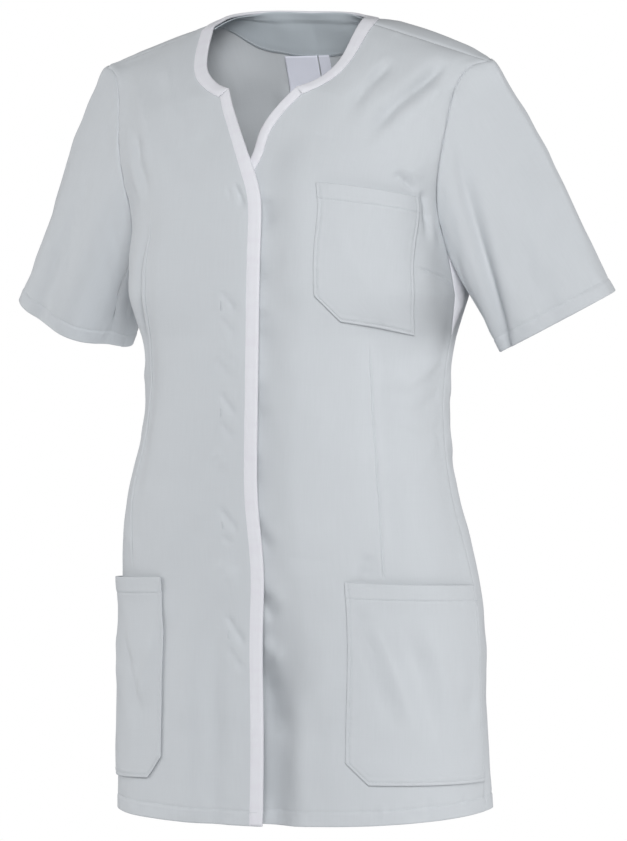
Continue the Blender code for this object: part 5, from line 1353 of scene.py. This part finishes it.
# Creases on the pockets: line of (distance from the inner edge, distance below the top)
pocketCreases = {
    "chest_pocket": (
        (((0.012, 0.030), (0.040, 0.075), (0.060, 0.110)), (0.0100, 0.0060), 0.0009, (0.3, 0.4)),
        (((0.050, 0.020), (0.072, 0.060)), (0.0090, 0.0060), -0.0010, (0.3, 0.4)),
    ),
    "lower_pocket_left": (
        (((0.002, 0.016), (0.022, 0.070), (0.046, 0.138)), (0.0070, 0.0110), -0.0030, (0.2, 0.4)),
        (((0.018, 0.030), (0.042, 0.088), (0.066, 0.150)), (0.0110, 0.0060), 0.0022, (0.2, 0.4)),
        (((0.050, 0.030), (0.072, 0.090), (0.096, 0.158)), (0.0080, 0.0130), -0.0022, (0.3, 0.4)),
        (((0.076, 0.040), (0.098, 0.095), (0.116, 0.150)), (0.0130, 0.0080), 0.0014, (0.3, 0.4)),
        (((0.138, 0.070), (0.132, 0.150)), (0.0120, 0.0090), -0.0012, (0.3, 0.4)),
    ),
    "lower_pocket_right": (
        (((0.006, 0.040), (0.026, 0.090), (0.046, 0.140)), (0.0110, 0.0060), 0.0016, (0.3, 0.4)),
        (((0.070, 0.045), (0.044, 0.100), (0.024, 0.155)), (0.0070, 0.0120), -0.0018, (0.3, 0.4)),
        (((0.100, 0.040), (0.084, 0.110)), (0.0100, 0.0120), 0.0014, (0.3, 0.4)),
    ),
}


# Places, normals and flat places of a pocket at shares across and down it, raised by lift
def pocketPlaces(name, across, drop):
    size = pocketCut[name]
    panel = panels[size["panel"]]
    across, drop = np.broadcast_arrays(across, drop)
    depth = size["top"] - size["foot"]
    cut = np.maximum(0, drop * depth - (depth - size["chamfer"]))
    z = size["top"] - drop * depth - size["slope"] * across
    down = panel.downAt(z)
    for _ in range(6):
        first = panel.shareOf(size["inner"] + cut, down)
        last = 0.988
        if size["width"] is not None:
            last = panel.shareOf(size["inner"] + size["width"], down)
        share = first + (last - first) * across
        down = panel.locate(share, z)
    width = (last - first) * panel.lengths(down)
    left, right = across * width, (1 - across) * width
    below, under = drop * depth, (1 - drop) * depth
    sewn = np.minimum(np.minimum(left, right), under)
    places, normals = panel.points(share, down), panel.normal(share, down)
    inside = smooth(sewn / 0.012)
    open_ = smooth(1 - below / 0.030) * np.sin(np.clip(across, 0, 1) * math.pi) ** 0.7
    lift = pocketSew["gap"] + inside * 0.0006 + pocketSew["gape"] * open_ * inside
    lift += 0.0020 * np.sin(across * math.pi) * np.sin(np.clip(0.35 + 0.6 * drop, 0, 1) * math.pi)
    spot = np.stack((left + cut, below), axis=-1)
    creases = sum(creaseLift(spot, crease)
                  for crease in table(creaseColumns, pocketCreases[name]))
    lift += np.maximum(creases, -lift * 0.7) * inside
    # turned edges, their line of stitches and the small pulls at it
    turned = smooth((pocketSew["turn"] - sewn) / 0.0015) * smooth(sewn / 0.0007)
    groove = np.exp(-(((sewn - pocketSew["edge"]) / 0.0009) ** 2)) * smooth(below / 0.002)
    pull = patches(left + below * 1.3, under * 1.3, 0.0065, 91)
    hem = pocketSew["hem"]
    band = smooth((hem + 0.0005 - below) / 0.0010)
    line = np.exp(-(((below - hem) / 0.0009) ** 2))
    lift += 0.00030 * turned - 0.00034 * groove + 0.00045 * band - 0.00042 * line
    lift += 0.00016 * pull * (np.exp(-(((sewn - 0.004) / 0.004) ** 2))
                              + np.exp(-(((below - hem) / 0.006) ** 2)))
    flat = np.stack((left, -below), axis=-1)
    points = places + normals * lift[..., None]
    if size["panel"] == "right":
        points, normals = points * flip, normals * flip
    return points, normals, flat


# Shares along a pocket, finer at both ends
def unevenShares(length, step):
    inner = np.linspace(0, 1, int(length / step) + 1)
    rims = [np.linspace(0, 0.006, 9) / length, 1 - np.linspace(0.006, 0, 9) / length]
    keep = inner[(inner > 0.0065 / length) & (inner < 1 - 0.0065 / length)]
    return np.unique(np.concatenate([keep] + rims))


def makePockets():
    hem = pocketSew["hem"]
    for name, size in pocketCut.items():
        depth, width = size["top"] - size["foot"], size["flat"][0]
        across = unevenShares(width, pocketSew["step"])[None, :]
        drop = unevenShares(depth, pocketSew["step"])
        seam = (hem + np.linspace(-0.003, 0.003, 9)) / depth
        drop = np.concatenate((drop[np.abs(drop - hem / depth) > 0.0036 / depth], seam))
        drop = np.sort(drop)[:, None]
        grid, _, flat = pocketPlaces(name, across, drop)
        if size["panel"] == "right":
            grid, flat = grid[:, ::-1], flat[:, ::-1]
        piece = addSheet(size["piece"], grid, flat, "pocketCloth")
        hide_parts(name)
        lines = []
        out = clothMake["wall"] / 2
        edge = pocketSew["edge"]
        around = [(edge / width, t) for t in np.linspace(0.004 / depth, 1 - 0.024 / depth, 60)]
        around += [(edge / width, t) for t in np.linspace(1 - 0.022 / depth, 1 - edge / depth, 14)]
        around += [(s, 1 - edge / depth) for s in np.linspace(edge / width, 1 - edge / width, 50)]
        around += [(1 - edge / width, t) for t in np.linspace(1 - edge / depth, 0.004 / depth, 60)]
        topLine = [(s, hem / depth) for s in np.linspace(0.004 / width, 1 - 0.004 / width, 60)]
        for path in (around, topLine):
            path = np.array(path)
            places, ways, _ = pocketPlaces(name, path[:, 0], path[:, 1])
            lines.append((places + ways * out, ways))
        addStitches("stitches" + size["piece"][6:].title() + "Pocket", lines)
    print("pockets made")


makePockets()

# The fly strip behind the outer front, and the facing and labels inside the back neck
insideCut = {
    "flyInner": -0.0065, "flyOuter": 0.037, "flyTop": -0.203, "flyFoot": -0.665,
    "facingStart": -0.0011, "facingCentre": 0.0465, "facingEnd": 0.0120,
}
labelCut = {
    "neck_label": {"piece": "labelNeck", "x": (-0.0350, -0.0015), "z": (-0.0255, -0.0640),
                   "curl": 0.0010},
    "size_tab": {"piece": "labelTab", "x": (0.0002, 0.0115), "z": (-0.0255, -0.0530),
                 "curl": 0.0006},
}


def makeFly():
    panel = panels["right"]
    z = np.linspace(insideCut["flyTop"], insideCut["flyFoot"], 150)[:, None]
    girth = np.linspace(insideCut["flyInner"], insideCut["flyOuter"], 16)[None, :]
    down = panel.downAt(z)
    share = panel.shareOf(girth, down)
    down = panel.locate(share, z + 0 * share)
    places, normals = panel.points(share, down), panel.normal(share, down)
    grid = mirrored(places - normals * 0.0013)
    flat = np.stack((girth + 0 * z, z + 0 * girth), axis=-1)[:, ::-1]
    piece = addSheet("flyStrip", grid, flat, "pocketCloth")
    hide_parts("fly_strip")
    print("fly made")


def makeInside():
    tree = gridTree([sheets["back"]])
    share = np.linspace(0, tunicFit["neckShare"], 46)[None, :]
    half = back.points(share, np.zeros((1, 1)))[0]
    edge = np.concatenate((half[::-1] * flip, half[1:]))[::-1]
    part = np.abs(np.linspace(-1, 1, len(edge)))
    foot = insideCut["facingCentre"] * (1 - part**2) + insideCut["facingEnd"] * part**2
    way = unit(np.gradient(edge, axis=0))
    normals = back.normal(np.abs(np.linspace(-1, 1, len(edge))) * tunicFit["neckShare"],
                          np.full(len(edge), 0.002))
    normals = normals * np.where(edge[:, :1] * normals[:, :1] < 0, flip, 1)
    over = unit(np.cross(normals, way))
    over = over * np.where(over[:, 2:] > 0, -1, 1)
    grid, faces, flat = [], [], []
    for row in np.linspace(0, 1, 22):
        reach = insideCut["facingStart"] * (1 - row) + foot * row
        places, ways = [], []
        above = over * np.minimum(reach, 0)[:, None]
        for point, rise in zip(edge + over * np.maximum(reach, 0.0006)[:, None], above):
            place, normal = laid(tree, point)
            normal = normal if normal[1] > 0 or normal[2] > 0.5 else -normal
            places.append(place + rise)
            ways.append(normal)
        ways = np.array(ways)
        for _ in range(4):
            ways[1:-1] = unit(ways[:-2] + 2 * ways[1:-1] + ways[2:])
        low = 0.0011 + 0.0006 * smooth((row - 0.1) / 0.3) * smooth((1 - row) / 0.2)
        low = low + 0.00035 * patches(part * 0.09, row * 0.03, 0.012, 71)
        low = low + 0.0015 * smooth((0.0105 - reach) / 0.0020)
        grid.append(np.array(places) - ways * np.reshape(low, (-1, 1)))
        faces.append(ways)
        flat.append(np.stack((edge[:, 0], -reach), axis=-1))
    grid, faces, flat = np.array(grid), np.array(faces), np.array(flat)
    piece = addSheet("neckFacing", grid, flat, "facingCloth", normals=faces)
    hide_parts("neck_facing")
    lines = [(grid[-2] - faces[-2] * 0.0005, -faces[-2])]
    addStitches("stitchesFacing", lines)
    for name, size in labelCut.items():
        steps = 22
        x = np.linspace(*size["x"], steps)[None, ::-1] + np.zeros((steps, 1))
        z = np.linspace(*size["z"], steps)[:, None] + np.zeros((1, steps))
        places, ways = [], []
        for atX, atZ in zip(x.ravel(), z.ravel()):
            place, normal, _, _ = tree.ray_cast(Vector((atX, 0, atZ)), Vector((0, 1, 0)))
            normal = np.array(normal) * (1 if normal[1] > 0 else -1)
            places.append(np.array(place))
            ways.append(normal)
        places, ways = np.array(places).reshape(steps, steps, 3), np.array(ways)
        ways = unit(ways.reshape(steps, steps, 3) * 0.3 + ways.mean(axis=0))
        fall = np.linspace(0, 1, steps)[:, None]
        bow = np.sin(np.linspace(0, 1, steps) * math.pi)[None, :]
        low = 0.0030 + size["curl"] * (fall**2 * 1.6 + 0.5 * bow * fall)
        grid = places - ways * low[..., None]
        flat = np.stack((x, z), axis=-1)
        thin = np.full((steps, steps), 0.00018)
        piece = addSheet(size["piece"], grid, flat, "labelTape", normals=ways, out=thin,
                         into=thin)
        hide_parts(name)
    print("facing and labels made")


makeFly()
makeInside()

# Lines of stitches on the cloth itself
barTacks = ((0.0228, -0.2677, 0.0095), (0.0197, -0.3666, 0.0085), (0.0155, -0.4716, 0.0070),
            (0.0190, -0.5719, 0.0080))


def sewCloth():
    out = clothMake["wall"] / 2
    hemLines = []
    rise = tunicFit["hem"] + clothMake["hemDepth"]
    for side, panel in panels.items():
        start = -0.006 if side == "right" else 0.004
        places, normals = panel.trace(((start, rise), (0.12, rise), (0.262, rise)))
        sign = flip if side == "right" else 1
        hemLines.append(((places + normals * out) * sign, normals * sign))
    for sign in (flip, np.ones(3)):
        back.flip = int(sign[0])
        places, normals = back.trace(((0.0, rise), (0.15, rise), (0.268, rise)))
        hemLines.append(((places + normals * out) * sign, normals * sign))
    back.flip = 1
    for side in ("left", "right"):
        grid, fromHem = sheets["sleeve_" + side], sleeveRise[side]
        normals = gridNormals(grid, wrap=True)
        line, ways = [], []
        for j in range(grid.shape[1]):
            at = np.interp(-clothMake["hemDepth"], -fromHem[:, j], np.arange(len(grid)))
            i = min(int(at), len(grid) - 2)
            line.append(grid[i, j] * (1 - at + i) + grid[i + 1, j] * (at - i))
            ways.append(normals[i, j])
        line, ways = np.array(line + line[:1]), np.array(ways + ways[:1])
        hemLines.append((line + ways * out, ways))
    addStitches("stitchesHems", hemLines)
    panel = panels["right"]
    tacks = []
    for girth, top, length in barTacks:
        for shift in (-0.0005, 0.0, 0.0005):
            line = ((girth + shift, top), (girth + shift, top - length))
            places, normals = panel.trace(line, 0.0004)
            tacks.append(((places + normals * (out + 0.0001)) * flip, normals * flip))
    places, normals = panel.trace(((-0.004, -0.7385), (-0.0145, -0.7385)), 0.0004)
    tacks.append(((places + normals * 0.0021) * flip, normals * flip))
    addStitches("stitchesBarTacks", tacks, pitch=0.0011)
    print("hems and bar tacks sewn")


sewCloth()


# Camera at the photograph's angle, level, with its frame shifted as the photograph's is; the
# focal length, columns and rows are in pixels, the sensor's width in millimetres
photoView = {"azimuth": 23.0, "distance": 3.0, "height": -0.30, "focal": 3150.0, "width": 627.0,
             "centreColumn": 285.0, "horizonRow": 336.0, "rows": 841.0, "sensor": 36.0}


# A place at an azimuth, distance and height in one dictionary
def placeRound(size):
    turn = math.radians(size["azimuth"])
    return math.sin(turn) * size["distance"], -math.cos(turn) * size["distance"], size["height"]


def setCamera():
    view = photoView
    camera = bpy.data.cameras.new("photoCamera")
    camera.sensor_fit = "HORIZONTAL"
    camera.sensor_width = view["sensor"]
    camera.lens = view["focal"] * view["sensor"] / view["width"]
    camera.shift_x = (view["width"] / 2 - view["centreColumn"]) / view["width"]
    camera.shift_y = (view["horizonRow"] - view["rows"] / 2) / view["width"]
    camera.clip_end = 50.0
    holder = bpy.data.objects.new("photoCamera", camera)
    holder.location = placeRound(view)
    holder.rotation_euler = (math.pi / 2, 0, math.radians(view["azimuth"]))
    bpy.context.scene.collection.objects.link(holder)
    bpy.context.scene.camera = holder


# Soft studio light: two panels above the camera, one at each side, and a pale surround
lights = {
    "frontPanel": {"azimuth": 25.0, "distance": 2.4, "height": 0.36, "size": 1.0, "power": 39.0},
    "topPanel": {"azimuth": 22.0, "distance": 2.2, "height": 1.30, "size": 1.2, "power": 17.0},
    "rightPanel": {"azimuth": -88.0, "distance": 2.8, "height": -0.15, "size": 1.3, "power": 41.0},
    "leftPanel": {"azimuth": 118.0, "distance": 3.0, "height": -0.60, "size": 1.4, "power": 44.0},
}
surround = {"seen": 1.0, "light": 0.12}


def setLights():
    target = Vector((0.0, 0.0, -0.37))
    for name, size in lights.items():
        lamp = bpy.data.lights.new(name, "AREA")
        lamp.shape = "SQUARE"
        lamp.size = size["size"]
        lamp.energy = size["power"]
        holder = bpy.data.objects.new(name, lamp)
        holder.location = placeRound(size)
        holder.rotation_euler = (target - holder.location).to_track_quat("-Z", "Y").to_euler()
        bpy.context.scene.collection.objects.link(holder)
    world = bpy.data.worlds.new("studio")
    world.use_nodes = True
    tree = world.node_tree
    tree.nodes.clear()
    output = tree.nodes.new("ShaderNodeOutputWorld")
    mix = tree.nodes.new("ShaderNodeMixShader")
    path = tree.nodes.new("ShaderNodeLightPath")
    seen, light = tree.nodes.new("ShaderNodeBackground"), tree.nodes.new("ShaderNodeBackground")
    seen.inputs["Strength"].default_value = surround["seen"]
    seen.inputs["Color"].default_value = (1, 1, 1, 1)
    light.inputs["Strength"].default_value = surround["light"]
    light.inputs["Color"].default_value = (0.985, 0.99, 1.0, 1)
    tree.links.new(path.outputs["Is Camera Ray"], mix.inputs[0])
    tree.links.new(light.outputs[0], mix.inputs[1])
    tree.links.new(seen.outputs[0], mix.inputs[2])
    tree.links.new(mix.outputs[0], output.inputs[0])
    bpy.context.scene.world = world
    bpy.context.scene.view_settings.view_transform = "Standard"


def setFloor():
    bpy.ops.object.select_all(action="DESELECT")
    bpy.ops.mesh.primitive_circle_add(vertices=96, radius=1.4, fill_type="NGON",
                                      location=(0, 0, -1.10))
    floorDisc = bpy.context.object
    floorDisc.name = "studioFloor"
    made = bpy.data.materials.new("paleFloor")
    made.use_nodes = True
    shader = made.node_tree.nodes["Principled BSDF"]
    shader.inputs["Base Color"].default_value = (0.86, 0.86, 0.87, 1)
    shader.inputs["Roughness"].default_value = 0.9
    floorDisc.data.materials.append(made)


setCamera()
setLights()
setFloor()
print("studio set")
